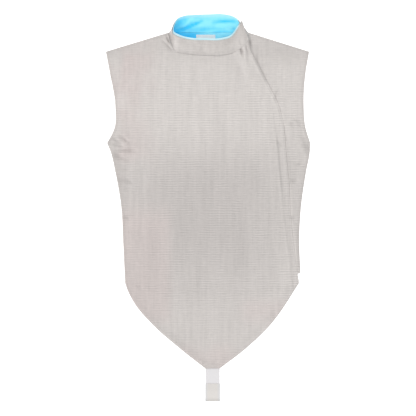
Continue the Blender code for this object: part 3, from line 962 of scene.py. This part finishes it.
def back_surfaces(x, y):
    bottom, left, right, top = back_edges()
    outline = np.concatenate([bottom, right[::2], top[::-1], left[::-1][::2]])
    edge = distance_to(outline, x, y)
    half = rounded(edge, CLOTH) - 0.15 * bell(distance_to(bottom, x, y) - 6.0, 0.8)
    middle = 0.5 * CLOTH + back_lift(x, y)
    # Painted shade along the outline
    return middle - half, middle + half, 0.05 * bell(edge, 4.2)


# Collar


def collar_place():
    """Outer face of the collar's strip: stations down the first axis, seam to top edge across."""
    base, top = collar_lines()
    t = COLLAR_ROWS[None, :, None]
    return (1 - t) * base[:, None] + t * top[:, None]


def inward(grid):
    """Unit vectors from the collar's outer face to the inside of the neck."""
    return unit(np.cross(np.gradient(grid, axis=1), np.gradient(grid, axis=0)))


def collar_bulge(grid):
    """How far the collar's strip swells inward: slight waves, held down at its seam and top."""
    along = lengths(grid[:, len(COLLAR_ROWS) // 2])[:, None]
    held = np.sin(np.pi * np.clip(COLLAR_ROWS[None, :], 0, 1)) ** 0.8
    wave = 0.28 * np.sin(along / 9.5 + 1.5 * np.sin(along / 41)) + 0.22 * np.sin(along / 19 + 2)
    pressed = creases(COLLAR_CREASES, grid[..., 0], grid[..., 1])
    return held * (1.1 * (0.5 + wave) + np.maximum(-pressed, -0.5))


# Meshes


def put_in_scene(name, data, place=(0.0, 0.0, 0.0)):
    """Makes an object from a mesh, a lamp or a camera and puts it in its place."""
    made = bpy.data.objects.new(name, data)
    made.location = place
    bpy.context.collection.objects.link(made)
    return made


def mesh_object(name, points, faces, material, tints=()):
    """A smooth piece from points in millimetres, with values painted on its points."""
    mesh = bpy.data.meshes.new(name)
    mesh.from_pydata((points * MM).tolist(), [], faces)
    for label, values in dict(tints).items():
        mesh.attributes.new(label, "FLOAT", "POINT").data.foreach_set("value", np.ravel(values))
    mesh.polygons.foreach_set("use_smooth", [True] * len(mesh.polygons))
    mesh.materials.append(material)
    mesh.update()
    return put_in_scene(name, mesh)


def wall(name, lower, upper, material, **tints):
    """A closed wall between two grids of points, rows by columns."""
    rows, columns = lower.shape[:2]
    count = rows * columns
    number = np.arange(count).reshape(rows, columns)
    a, b = number[:-1, :-1].ravel(), number[:-1, 1:].ravel()
    c, d = number[1:, 1:].ravel(), number[1:, :-1].ravel()
    under = np.stack([a, d, c, b], 1)
    over = np.stack([a, b, c, d], 1) + count
    rim = np.concatenate([number[0], number[1:, -1], number[-1, -2::-1], number[-2:0:-1, 0]])
    after = np.roll(rim, -1)
    sides = np.stack([rim, after, after + count, rim + count], 1)
    faces = np.concatenate([under, over, sides]).tolist()
    points = np.concatenate([lower.reshape(-1, 3), upper.reshape(-1, 3)])
    painted = {label: np.tile(np.ravel(values), 2) for label, values in tints.items()}
    return mesh_object(name, points, faces, material, painted)


def layer(name, x, y, lower, upper, material, **tints):
    """A closed wall between two heights over the same places."""
    faces = [np.stack([x, y, z], axis=-1) for z in (lower, upper)]
    return wall(name, *faces, material, **tints)


# Materials


class Amount:
    """A value that varies over a surface; arithmetic with it adds the nodes that it takes."""

    def __init__(self, nodes, socket):
        self.nodes, self.socket = nodes, socket

    def __add__(self, other):
        return self.nodes.maths("ADD", self, other)

    def __sub__(self, other):
        return self.nodes.maths("SUBTRACT", self, other)

    def __rsub__(self, other):
        return self.nodes.maths("SUBTRACT", other, self)

    def __mul__(self, other):
        return self.nodes.maths("MULTIPLY", self, other)

    __radd__, __rmul__ = __add__, __mul__


class Nodes:
    """A new material and short calls that add nodes to it."""

    def __init__(self, name):
        self.material = bpy.data.materials.new(name)
        self.material.use_nodes = True
        self.tree = self.material.node_tree
        self.shader = self.tree.nodes["Principled BSDF"]
        where = self.add("TexCoord", {}, "Object")
        self.place = self.add("VectorMath", {0: where, "Scale": 1 / MM}, operation="SCALE")
        self.x, self.y, self.z = (self.add("SeparateXYZ", {0: self.place}, k) for k in range(3))

    def put(self, socket, value):
        """Links a socket to an amount, or sets its own value."""
        if isinstance(value, Amount):
            self.tree.links.new(value.socket, socket)
        else:
            socket.default_value = value

    def add(self, kind, inputs, output=0, **settings):
        """Adds a node and gives one of its outputs."""
        node = self.tree.nodes.new("ShaderNode" + kind)
        for setting, value in settings.items():
            setattr(node, setting, value)
        for place, value in inputs.items():
            self.put(node.inputs[place], value)
        return Amount(self, node.outputs[output])

    def maths(self, operation, *values, **settings):
        return self.add("Math", dict(enumerate(values)), operation=operation, **settings)

    def kept(self, value):
        """A value kept from 0 to 1."""
        return self.maths("ADD", value, 0.0, use_clamp=True)

    def noise(self, size, stretch=(1, 1, 1), detail=2.0):
        """Cloudy values round 0.5 with blots of about the given size in millimetres."""
        scale = tuple(1.0 / (size * part) for part in stretch)
        place = self.add("VectorMath", {0: self.place, 1: scale}, operation="MULTIPLY")
        return self.add("TexNoise", {"Vector": place, "Scale": 1.0, "Detail": detail}, "Fac")

    def stripes(self, coordinate, period):
        """A wave from 0 to 1 along a coordinate."""
        return 0.5 + 0.5 * self.maths("SINE", coordinate * (2 * np.pi / period))

    def ramp(self, value, low, high, to_low=0.0, to_high=1.0):
        """A value that goes from one number to another as another value goes from low to high."""
        ends = dict(enumerate((value, low, high, to_low, to_high)))
        return self.add("MapRange", ends, interpolation_type="SMOOTHSTEP")

    def mix(self, share, first, second):
        """A mix of two colours. The node's inputs 6 and 7 and its output 2 are its colours."""
        first, second = (c if isinstance(c, Amount) else (*c, 1.0) for c in (first, second))
        return self.add("Mix", {0: share, 6: first, 7: second}, 2, data_type="RGBA")

    def shades(self, share, colour, dark):
        """A colour, and the same made darker where the share is low."""
        return self.mix(share, tuple(dark * part for part in colour), colour)

    def dimmed(self, colour, share):
        """A colour made lighter or darker by a share."""
        return self.add("VectorMath", {0: colour, "Scale": share}, operation="SCALE")

    def painted(self, label):
        """Values painted on the points."""
        return self.add("Attribute", {}, "Fac", attribute_name=label)

    def surface(self, colour, roughness, metallic=0.0, sheen=0.0):
        """Sets the shader."""
        values = (colour, roughness, metallic, sheen)
        for name, value in zip(("Base Color", "Roughness", "Metallic", "Sheen Weight"), values):
            self.put(self.shader.inputs[name], value)

    def bump(self, height, distance, strength, **after):
        """Fine relief, with its height in millimetres."""
        inputs = {"Strength": strength, "Distance": distance * MM, "Height": height, **after}
        normal = self.add("Bump", inputs)
        self.put(self.shader.inputs["Normal"], normal)
        return normal

    def weave(self, thread, wander):
        """A plain weave: threads that pass over and under each other."""
        across = self.stripes(self.x + 1.2 * wander, thread)
        down = self.stripes(self.y + 1.6 * wander, thread)
        return across * down + (1.0 - across) * (1.0 - down)


def finish(make):
    """The material that a function describes, made the first time it is asked for."""
    name = make.__name__
    if name not in bpy.data.materials:
        make(Nodes(name), bpy.context.scene.lame_colours)
    return bpy.data.materials[name]


def woven_metal(n, colours):
    """Silvery cloth woven with metal threads, with broken ribs across and faint streaks down."""
    x, y, ramp = n.x, n.y, n.ramp
    wander = n.noise(46) - 0.5
    weave = n.weave(bpy.context.scene.lame_sizes.weave / MM, wander)
    blots = n.noise(9, detail=3.0) - 0.5
    slubs = n.noise(2.6, (5, 1, 1), 1.0) - 0.5
    streaks = n.noise(30, (1, 16, 1)) - 0.5
    narrow = n.noise(8, (1, 14, 1)) - 0.5
    threads = n.noise(3.2, (1, 12, 1), 1.0) - 0.5
    # Ribs, broken here and there and fainter towards the outline
    broken = ramp(n.noise(16, (1.3, 1, 1), 3.0), 0.34, 0.64) * ramp(y, 350, 230, 0.35, 1)
    broken = broken * ramp(x, -190, -90, 0.6, 1) * ramp(y, -260, -180, 0.55, 1)
    ribs = (n.stripes(y + 5.0 * wander, 5.6) - 0.5) * broken
    # Painted light: brighter over the chest, low down, beside the closure and up the collar
    chest = ramp(y, 40, 205) - ramp(y, 305, 372, 0, 0.4)
    outer = ramp(x, 60, 205, 0, 0.65) + ramp(x, -70, -170, 0, 0.2)
    outer = outer * ramp(y, 190, 60) + ramp(n.z, 8, 20, 0, 0.95)
    light_and_streaks = n.kept(chest + ramp(y, -60, -280, 0, 0.62) + outer + 0.12 * streaks)
    plain = n.mix(light_and_streaks, colours.metal_shaded, colours.metal)
    # Warmer down the left side, at the left shoulder, the point and the hips
    side = ramp(x, -90, -205) * ramp(x, -226, -190, 0.3, 1) * ramp(y, 92, 126, 0.15, 1)
    shoulder = ramp(x, -112, -142) * ramp(y, 250, 285) * ramp(y, 370, 345)
    hips = ramp(x, -72, -104) * ramp(y, 25, -40)
    hips = hips + ramp(x, 60, 96, 0, 0.7) * ramp(y, -196, -232)
    warm = side + ramp(y, -300, -336, 0, 0.8) + 0.5 * shoulder
    warm = ramp(n.noise(60, (1, 1.4, 1), 1.0), 0.30, 0.62) * warm
    warm = n.kept(0.9 * (warm + 0.95 * hips * ramp(y, -284, -240)))
    cloth = n.mix(warm, plain, colours.metal_warm)
    fine = 1.0 + 0.21 * ribs + 0.16 * blots + 0.14 * slubs
    fine = fine + 0.05 * streaks + 0.16 * narrow + 0.11 * threads + 0.06 * (weave - 0.5)
    # Painted shade, and below zero painted light, from the shade values on each piece
    shade = fine * (1.0 - n.painted("shade"))
    n.surface(n.dimmed(cloth, shade), 0.5 + 0.25 * blots, metallic=0.25)
    n.bump(ribs, 0.35, 0.35, Normal=n.bump(weave, 0.10, 0.5))


def satin_lining(n, colours):
    """Bright blue lining, deepened by painted shade in its folds, with a pale bound edge."""
    cloud = n.noise(12, detail=3.0) - 0.5
    shade_and_cloud = n.kept(n.painted("fold") + 0.5 * cloud)
    cloth = n.mix(shade_and_cloud, colours.lining, colours.lining_shaded)
    n.surface(n.mix(n.painted("rim"), cloth, colours.rim), 0.42 + 0.2 * cloud, sheen=0.25)
    n.bump(n.stripes(n.x + n.y, 1.1), 0.06, 0.4)


def woven_label(n, colours):
    """White satin weave, a little cloudy."""
    shade = n.ramp(n.noise(8), 0.3, 0.7)
    n.surface(n.shades(shade, colours.label, 0.93), 0.55 + 0.1 * shade, sheen=0.1)
    n.bump(n.weave(0.6, n.noise(20)), 0.06, 0.5)


def ribbed_elastic(n, colours):
    """White elastic with ribs along it."""
    ribs = n.stripes(n.x, STRAP_RIB)
    shade = n.kept(0.6 * n.noise(7) + 0.4 * ribs)
    n.surface(n.shades(shade, colours.elastic, 0.9), 0.75 + 0.1 * shade, sheen=0.2)
    n.bump(ribs + 0.3 * n.stripes(n.y, STRAP_RIB / 2), 0.25, 0.5)


def felted_tab(n, colours):
    """Off-white tab, browner in the middle and darker at its ends."""
    edge = n.ramp(n.maths("ABSOLUTE", n.x - STRAP_X), 0.25 * TAB_WIDTH, 0.5 * TAB_WIDTH)
    cloud = n.noise(3.5, detail=4.0)
    felt = n.mix(edge, n.shades(cloud, colours.tab, 0.93), TAB_EDGE)
    up = n.y - STRAP_END_Y
    # Darker near its lower end and, a little, over its upper part
    darker_ends = n.ramp(up, 9.0, 3.5, 0.0, 0.12) + n.ramp(up, 21.0, 28.0, 0.0, 0.036)
    n.surface(n.dimmed(felt, 1.0 - darker_ends), 0.8 + 0.15 * cloud, sheen=0.2)
    n.bump(cloud, 0.3, 0.5)


def spun_thread(n, colours):
    """Grey thread with its twist."""
    twist = n.stripes(n.x + n.y + n.z, 0.4)
    n.surface(n.shades(twist, colours.thread, 0.7), 0.5 + 0.1 * twist, sheen=0.1)
    n.bump(twist, 0.05, 0.5)


def pale_floor(n, colours):
    """Matt floor that glows a little, so that it comes out an even white."""
    stage = bpy.context.scene.lame_stage
    n.surface(n.shades(n.noise(300), stage.floor, 0.99), 0.9)
    n.put(n.shader.inputs["Emission Color"], (1.0, 1.0, 1.0, 1.0))
    n.put(n.shader.inputs["Emission Strength"], stage.glow)


# Pieces


def settle(piece, node, slot, **cut):
    """Puts a piece under the root and hides the part it stands for; slot and cut are not used."""
    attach(piece, "root")
    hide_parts(node)


def sew_panel(node, edges, surfaces_at, **cut):
    """A body panel of metal cloth, laid in its place."""
    x, y = np.moveaxis(fine_grid(edges, *GRIDS[node]), -1, 0)
    lower, upper, shade = surfaces_at(x, y)
    made = layer("vest_" + node, x, y, lower, upper, finish(woven_metal), shade=shade)
    bottom, left, right, top = edges
    x, y = np.concatenate([bottom, right[1:], top[::-1][1:], left[::-1][1:-1]]).T
    area = 0.5 * abs(x @ np.roll(y, -1) - y @ np.roll(x, -1)) * MM**2
    settle(made, node, "metal_cloth", held="laid", area=area, **cut)


def strip_flat(face):
    """Length and width of a strip that was cut straight and sewn round the neck, in metres."""
    width = np.linalg.norm(face[:, -1] - face[:, 0], axis=1).mean()
    return lengths(face[:, len(COLLAR_ROWS) // 2])[-1] * MM, width * MM


class FOIL_LAME_OT_back(bpy.types.Operator):
    """Back panel, lying on the table"""

    bl_idname = "foil_lame.back"
    bl_label = "Back"

    def execute(self, context):
        sew_panel("back", back_edges(), back_surfaces, flat=(0.472, 0.568))
        return {"FINISHED"}


class FOIL_LAME_OT_side_front(bpy.types.Operator):
    """Side panel under the closure"""

    bl_idname = "foil_lame.side_front"
    bl_label = "Side panel"

    def execute(self, context):
        cut = {"flat": (0.166, 0.560), "rests_on": ["vest_back"]}
        sew_panel("side_front", side_front_edges(), side_front_surfaces, **cut)
        return {"FINISHED"}


class FOIL_LAME_OT_front(bpy.types.Operator):
    """Front panel with its V-shaped hem"""

    bl_idname = "foil_lame.front"
    bl_label = "Front"

    def execute(self, context):
        under = ["vest_back", "vest_side_front", "vest_strap"]
        cut = {"flat": (0.444, 0.772), "rests_on": under}
        sew_panel("front", front_edges(), front_surfaces, **cut)
        return {"FINISHED"}


class FOIL_LAME_OT_collar(bpy.types.Operator):
    """Standing collar strip"""

    bl_idname = "foil_lame.collar"
    bl_label = "Collar"

    def execute(self, context):
        outer = collar_place()
        inside = inward(outer)
        x, y, z = np.moveaxis(outer, -1, 0)
        up = COLLAR_ROWS * np.linalg.norm(outer[:, -1] - outer[:, 0], axis=1)[:, None]
        edge = up[:, -1:] - up
        sunk = 0.3 * bell(edge - 3.4, 0.7) + neck_groove(x, y) * bell(up, 1.8)
        half = rounded(edge, CLOTH)
        middle = 0.5 * CLOTH + collar_bulge(outer)
        # Painted shade at its top edge, in its creases, on its left and at its right end's peak,
        # painted light all over
        shade = 0.04 * bell(edge, 3.0) - SHADE_PER_MM * creases(COLLAR_CREASES, x, y) - 0.02
        shade = shade + 0.065 * rise(-x, 36.0, 74.0) * (z > 2.0)
        shade = shade + 0.12 * rise(y, 412.0, 430.0) * (x > 60.0)
        faces = [outer + off[..., None] * inside for off in (middle - half + sunk, middle + half)]
        made = wall("vest_collar", *faces, finish(woven_metal), shade=shade)
        under = ["vest_front", "vest_back"]
        flat = strip_flat(outer)
        settle(made, "collar", "metal_cloth", flat=flat, held="folded", rests_on=under)
        return {"FINISHED"}


def lining_fold_shade(x, shape):
    """Deep blue share: painted shade in folds, painted light on ridges, more towards the left."""
    return np.clip(0.1 + 0.5 * rise(-x, -14.0, 58.0) - 0.45 * shape, 0.0, 1.0)


def line_collar(depth):
    """The collar's lining, which stands past it and laps over the lining inside the neck."""
    outer, start = collar_place(), station_column("back right")
    face, inside, swell = (part[start:] for part in (outer, inward(outer), collar_bulge(outer)))
    upward = unit(face[:, -1] - face[:, 0])[:, None]
    t = COLLAR_ROWS[None, :]
    foot, along = face[:, :1, 0], lengths(face[:, -1])[:, None]
    lying = rise(inside[..., 2], 0.3, 0.9)
    proud = LINING_PROUD[1] + (LINING_PROUD[0] - LINING_PROUD[1]) * lying[:, -1:]
    proud = proud - 5.0 * rise(along - along[-1], -26.0, -6.0)
    over = rise(FACING_HALF - foot, -2.0, 8.0) * (1.0 + 0.5 * rise(-foot, 58.0, 74.0))
    lap = FACING_LAP * fall(t, 0.0, 0.07) * lying[:, :1] * over
    face = face + (proud * t - lap)[..., None] * upward
    x, y = face[..., 0], face[..., 1]
    shape = creases(LINING_CREASES, x, y)
    held = np.sin(np.pi * (t * 0.94 + 0.03)) ** 0.6
    free = rise(along, 2.0, 24.0)
    thin = rise(lap, 0.0, 0.6 * FACING_LAP)
    lift = lying * held * depth * np.maximum(1.5 + shape, 0.0) * free + thin
    lift = lift - 0.6 * LINING_GAP * (1.0 - free)
    thickness = LINING * (1.0 - 0.65 * thin)
    half = rounded(np.minimum(t, 1 - t) * 40.0, thickness)
    middle = swell + CLOTH + LINING_GAP + lift + LINING - 0.5 * thickness
    # The rim colour: the pale bound edge where the lining stands, and painted highlight on the
    # lying lining towards its top
    bound = 0.93 * lying + 0.82 * (1 - lying)
    rim = (1 - lying) * rise(t, bound, bound + 0.04) + 0.4 * lying * rise(t, 0.72, 0.94)
    faces = [face + off[..., None] * inside for off in (middle - half, middle + half)]
    fold = lining_fold_shade(x, shape * lying)
    made = wall("collar_lining_blue", *faces, finish(satin_lining), fold=fold, rim=rim)
    cut = {"flat": strip_flat(face), "held": "folded", "rests_on": ["vest_collar"]}
    settle(made, "collar_lining", "blue_lining", **cut)


def facing_shape(x, y):
    """Height of the creases in the lining inside the back of the neck."""
    return creases(LINING_CREASES, x, y) + 0.5 * unevenness(2 * x, 2 * y)


def facing_height(x, y, depth):
    """Underside of the lining inside the back of the neck."""
    free = 0.7 + 0.3 * rise(BACK_NECK_Y - y, FACING_LAP - 0.2, FACING_LAP + 1.5)
    return CLOTH + FACING_GAP + depth * free * np.maximum(0.8 + 0.6 * facing_shape(x, y), 0.0)


def line_neck(depth):
    """The half-round lining inside the back of the neck."""
    x = np.linspace(-FACING_HALF, FACING_HALF, 121)
    top = BACK_NECK_Y - 2 * SEAM_GAP - FACING_BEND * (x / FACING_HALF) ** 4
    down = FACING_DEPTH * np.sqrt(np.clip(1.0 - (x / FACING_HALF) ** 2, FACING_END**2, 1.0))
    share = np.concatenate([[1.0, 0.99], np.linspace(0.97, 0.1, 36), np.linspace(0.09, 0.0, 19)])
    share = share[:, None]
    y = top - share * down
    x = np.broadcast_to(x, y.shape)
    edge = np.minimum.reduce([share * down, (1 - share) * down, FACING_HALF - np.abs(x)])
    middle, half = facing_height(x, y, depth) + 0.5 * LINING, rounded(edge, LINING)
    # Deeper blue all over and towards the left; painted light from the rim colour, more to the
    # right
    fold = lining_fold_shade(x, facing_shape(x, y)) + 0.22 + 0.2 * rise(-x, 0.0, 40.0)
    tints = {"fold": fold, "rim": 0.1 * rise(x, -30.0, 20.0)}
    blue = finish(satin_lining)
    made = layer("neck_facing_blue", x, y, middle - half, middle + half, blue, **tints)
    cut = {"flat": (2 * FACING_HALF * MM, FACING_DEPTH * MM), "held": "laid"}
    area = np.pi / 2 * FACING_HALF * FACING_DEPTH * MM**2
    settle(made, "neck_lining", "blue_lining", rests_on=["vest_back"], area=area, **cut)


class FOIL_LAME_OT_lining(bpy.types.Operator):
    """Blue lining of the collar and of the back of the neck"""

    bl_idname = "foil_lame.lining"
    bl_label = "Lining"

    def execute(self, context):
        line_collar(context.scene.lame_sizes.wrinkle)
        line_neck(context.scene.lame_sizes.wrinkle)
        return {"FINISHED"}


def oblong(low_x, high_x, low_y, high_y, across, up):
    """Places in an oblong, and how far each is from its edges."""
    x, y = np.meshgrid(low_x + across, low_y + up)
    return x, y, np.minimum.reduce([x - low_x, high_x - x, y - low_y, high_y - y])


class FOIL_LAME_OT_label(bpy.types.Operator):
    """Blank label sewn to the lining"""

    bl_idname = "foil_lame.label"
    bl_label = "Label"

    def execute(self, context):
        share = np.concatenate([[0, 0.008, 0.02], np.linspace(0.04, 0.96, 30), [0.98, 0.992, 1.0]])
        top, width = BACK_NECK_Y - LABEL_DROP, LABEL_RIGHT - LABEL_LEFT
        corners = (LABEL_LEFT, LABEL_RIGHT, top - LABEL_HEIGHT, top)
        x, y, edge = oblong(*corners, width * share, LABEL_HEIGHT * share)
        under = facing_height(x, y, context.scene.lame_sizes.wrinkle) + LINING + SEAM_GAP
        middle = under + 0.5 * LABEL_WALL + 0.25 * np.sin(x / 9 + 1) ** 2
        middle = middle - 0.12 * bell(edge - 1.6, 0.6)
        half = rounded(edge, LABEL_WALL)
        white = finish(woven_label)
        made = layer("neck_label", x, y, middle - half, middle + half, white)
        flat = (width * MM, LABEL_HEIGHT * MM)
        settle(made, "label", "white_label", flat=flat, held="laid", rests_on=["neck_facing_blue"])
        return {"FINISHED"}


def band(name, width, top, z, thickness, material, ribs=0.0):
    """A flat band of webbing at the strap's end, with rounded edges and ribs along it."""
    high, half_width = top - STRAP_END_Y, 0.5 * width
    up = [0, 0.4, 1.0, *np.linspace(2.0, high - 2.0, 60), high - 1.0, high - 0.4, high]
    across = [0, 0.35, 0.8, *np.linspace(1.2, width - 1.2, 56), width - 0.8, width - 0.35, width]
    corners = (STRAP_X - half_width, STRAP_X + half_width, STRAP_END_Y, top)
    x, y, edge = oblong(*corners, np.array(across), np.array(up))
    ridge = ribs * np.sin((x - STRAP_X) * 2 * np.pi / STRAP_RIB) * rise(edge, 0.5, 2.0)
    middle, half = z + 0.5 * thickness, rounded(edge, thickness)
    return layer(name, x, y, middle - half, middle + half + ridge, material)


class FOIL_LAME_OT_strap(bpy.types.Operator):
    """Elastic crotch strap and the tab at its end"""

    bl_idname = "foil_lame.strap"
    bl_label = "Strap"

    def execute(self, context):
        elastic = finish(ribbed_elastic)
        strap = band("vest_strap", STRAP_WIDTH, STRAP_TOP_Y, 0.0, STRAP_WALL, elastic, ribs=0.1)
        flat = (STRAP_WIDTH * MM, (STRAP_TOP_Y - STRAP_END_Y) * MM)
        settle(strap, "crotch_strap", "white_elastic", flat=flat, held="laid")
        z = STRAP_WALL + SEAM_GAP
        tab = band("strap_end_tab", TAB_WIDTH, TAB_TOP_Y, z, TAB_WALL, finish(felted_tab))
        flat = (TAB_WIDTH * MM, (TAB_TOP_Y - STRAP_END_Y) * MM)
        settle(tab, "strap_tab", "white_tab", flat=flat, held="laid", rests_on=["vest_strap"])
        return {"FINISHED"}


def offset_line(line, distance):
    """A line moved to its left by a distance."""
    run = unit(np.gradient(line, axis=0))
    return line + distance * np.stack([-run[:, 1], run[:, 0]], axis=1)


def stitch_row(line, surfaces_at, length, radius):
    """Points of each stitch in a row along a line, sunk a little in the cloth."""
    total, step = lengths(line)[-1], length + STITCH_GAP
    start = (np.arange(int(total // step)) + 0.2) * step / total
    ends = []
    for share in (start, start + length / total):
        x, y = at_share(line, share).T
        ends.append(np.stack([x, y, surfaces_at(x, y)[1] + 0.25 * radius], axis=1))
    run = ends[1] - ends[0]
    side = unit(np.cross(run, (0.0, 0.0, 1.0)))
    up = np.cross(side, unit(run))
    turn = 2 * np.pi * np.arange(STITCH_SIDES)[:, None] / STITCH_SIDES
    ring = np.cos(turn) * side[:, None] + np.sin(turn) * up[:, None]
    rings = []
    for share, size in STITCH_RINGS:
        middle = ends[0] + share * run - (1 - size) * 0.9 * radius * up
        rings.append(middle[:, None] + size * radius * ring)
    return np.concatenate(rings, axis=1)


def stitch_faces(count):
    """Faces of a number of stitches, each a closed tube of rings."""
    sides, each = STITCH_SIDES, STITCH_SIDES * len(STITCH_RINGS)
    faces = [tuple(range(sides))[::-1], tuple(range(each - sides, each))]
    for k in range(0, each - sides, sides):
        for j in range(sides):
            a, b = k + j, k + (j + 1) % sides
            faces.append((a, b, b + sides, a + sides))
    return [tuple(i + s * each for i in face) for s in range(count) for face in faces]


class FOIL_LAME_OT_stitching(bpy.types.Operator):
    """Rows of stitches along the hems and seams"""

    bl_idname = "foil_lame.stitching"
    bl_label = "Stitching"

    def execute(self, context):
        sizes = context.scene.lame_sizes
        inset = sizes.hem / MM - STITCH_INSET
        bottom, left, _, _ = front_edges()
        outer = side_front_edges()[2]
        rows = (
            (offset_line(bottom[4:-4], inset), front_surfaces),
            (offset_line(left[4:-4], -inset), front_surfaces),
            (marked_line(FACING_ROW, 120), front_surfaces),
            (offset_line(outer[4:-4], inset), side_front_surfaces),
        )
        thread = (sizes.stitch / MM, sizes.thread / MM / 2)
        stitches = np.concatenate([stitch_row(*row, *thread) for row in rows])
        faces, points = stitch_faces(len(stitches)), stitches.reshape(-1, 3)
        made = mesh_object("vest_stitching", points, faces, finish(spun_thread))
        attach(made, "root")
        return {"FINISHED"}


def lamp(name, power, size, place):
    """A square soft lamp, aimed at the middle of the vest."""
    light = bpy.data.lights.new(name, "AREA")
    light.energy, light.size = power, size
    aim = (-Vector(place)).to_track_quat("-Z", "Y")
    put_in_scene(name, light, place).rotation_euler = aim.to_euler()


class FOIL_LAME_OT_stage(bpy.types.Operator):
    """Pale floor, soft light and a camera looking straight down"""

    bl_idname = "foil_lame.stage"
    bl_label = "Stage"

    def execute(self, context):
        scene, stage = context.scene, context.scene.lame_stage
        corners = [(x * FLOOR_REACH, y * FLOOR_REACH, FLOOR_Z) for x, y in SQUARE]
        mesh = bpy.data.meshes.new("floor")
        mesh.from_pydata(corners, [], [(0, 1, 2, 3)])
        mesh.materials.append(finish(pale_floor))
        put_in_scene("floor", mesh)

        lamp("lamp_above", stage.above, 2.4, (0.0, 0.0, 6.6))
        lamp("lamp_key", stage.key, 1.4, (-3.0, -1.4, 2.6))
        lamp("lamp_top", stage.top, 1.4, (0.5, 3.3, 2.8))
        world = bpy.data.worlds.new("surround")
        world.use_nodes = True
        background = world.node_tree.nodes["Background"]
        background.inputs["Color"].default_value = (1.0, 1.0, 1.0, 1.0)
        background.inputs["Strength"].default_value = stage.surround
        scene.world = world
        scene.view_settings.view_transform = "Standard"

        camera = bpy.data.cameras.new("camera")
        camera.lens, camera.sensor_width, camera.clip_end = stage.lens, 36.0, 100.0
        scene.camera = put_in_scene("camera", camera, (0.0, CAMERA_Y, stage.height))
        return {"FINISHED"}


# The whole vest

PIECES = (
    FOIL_LAME_OT_back,
    FOIL_LAME_OT_side_front,
    FOIL_LAME_OT_front,
    FOIL_LAME_OT_collar,
    FOIL_LAME_OT_lining,
    FOIL_LAME_OT_label,
    FOIL_LAME_OT_strap,
    FOIL_LAME_OT_stitching,
    FOIL_LAME_OT_stage,
)
GROUPS = {"lame_sizes": LameSizes, "lame_colours": LameColours, "lame_stage": LameStage}


class FOIL_LAME_PT_panel(bpy.types.Panel):
    """Sizes, colours and pieces of the foil lame"""

    bl_idname = "FOIL_LAME_PT_panel"
    bl_label = "Foil Lame"
    bl_space_type = "VIEW_3D"
    bl_region_type = "UI"
    bl_category = "Foil Lame"

    def draw(self, context):
        for group in GROUPS:
            values = getattr(context.scene, group)
            box = self.layout.box()
            for name in values.__annotations__:
                box.prop(values, name)
        for piece in PIECES:
            self.layout.operator(piece.bl_idname)


CLASSES = (*GROUPS.values(), *PIECES, FOIL_LAME_PT_panel)


def register():
    for made in CLASSES:
        bpy.utils.register_class(made)
    for name, group in GROUPS.items():
        setattr(bpy.types.Scene, name, PointerProperty(type=group))


def unregister():
    for name in GROUPS:
        delattr(bpy.types.Scene, name)
    for made in reversed(CLASSES):
        bpy.utils.unregister_class(made)


def main():
    register()
    for piece in PIECES:
        group, name = piece.bl_idname.split(".")
        getattr(getattr(bpy.ops, group), name)()


if __name__ == "__main__":
    main()
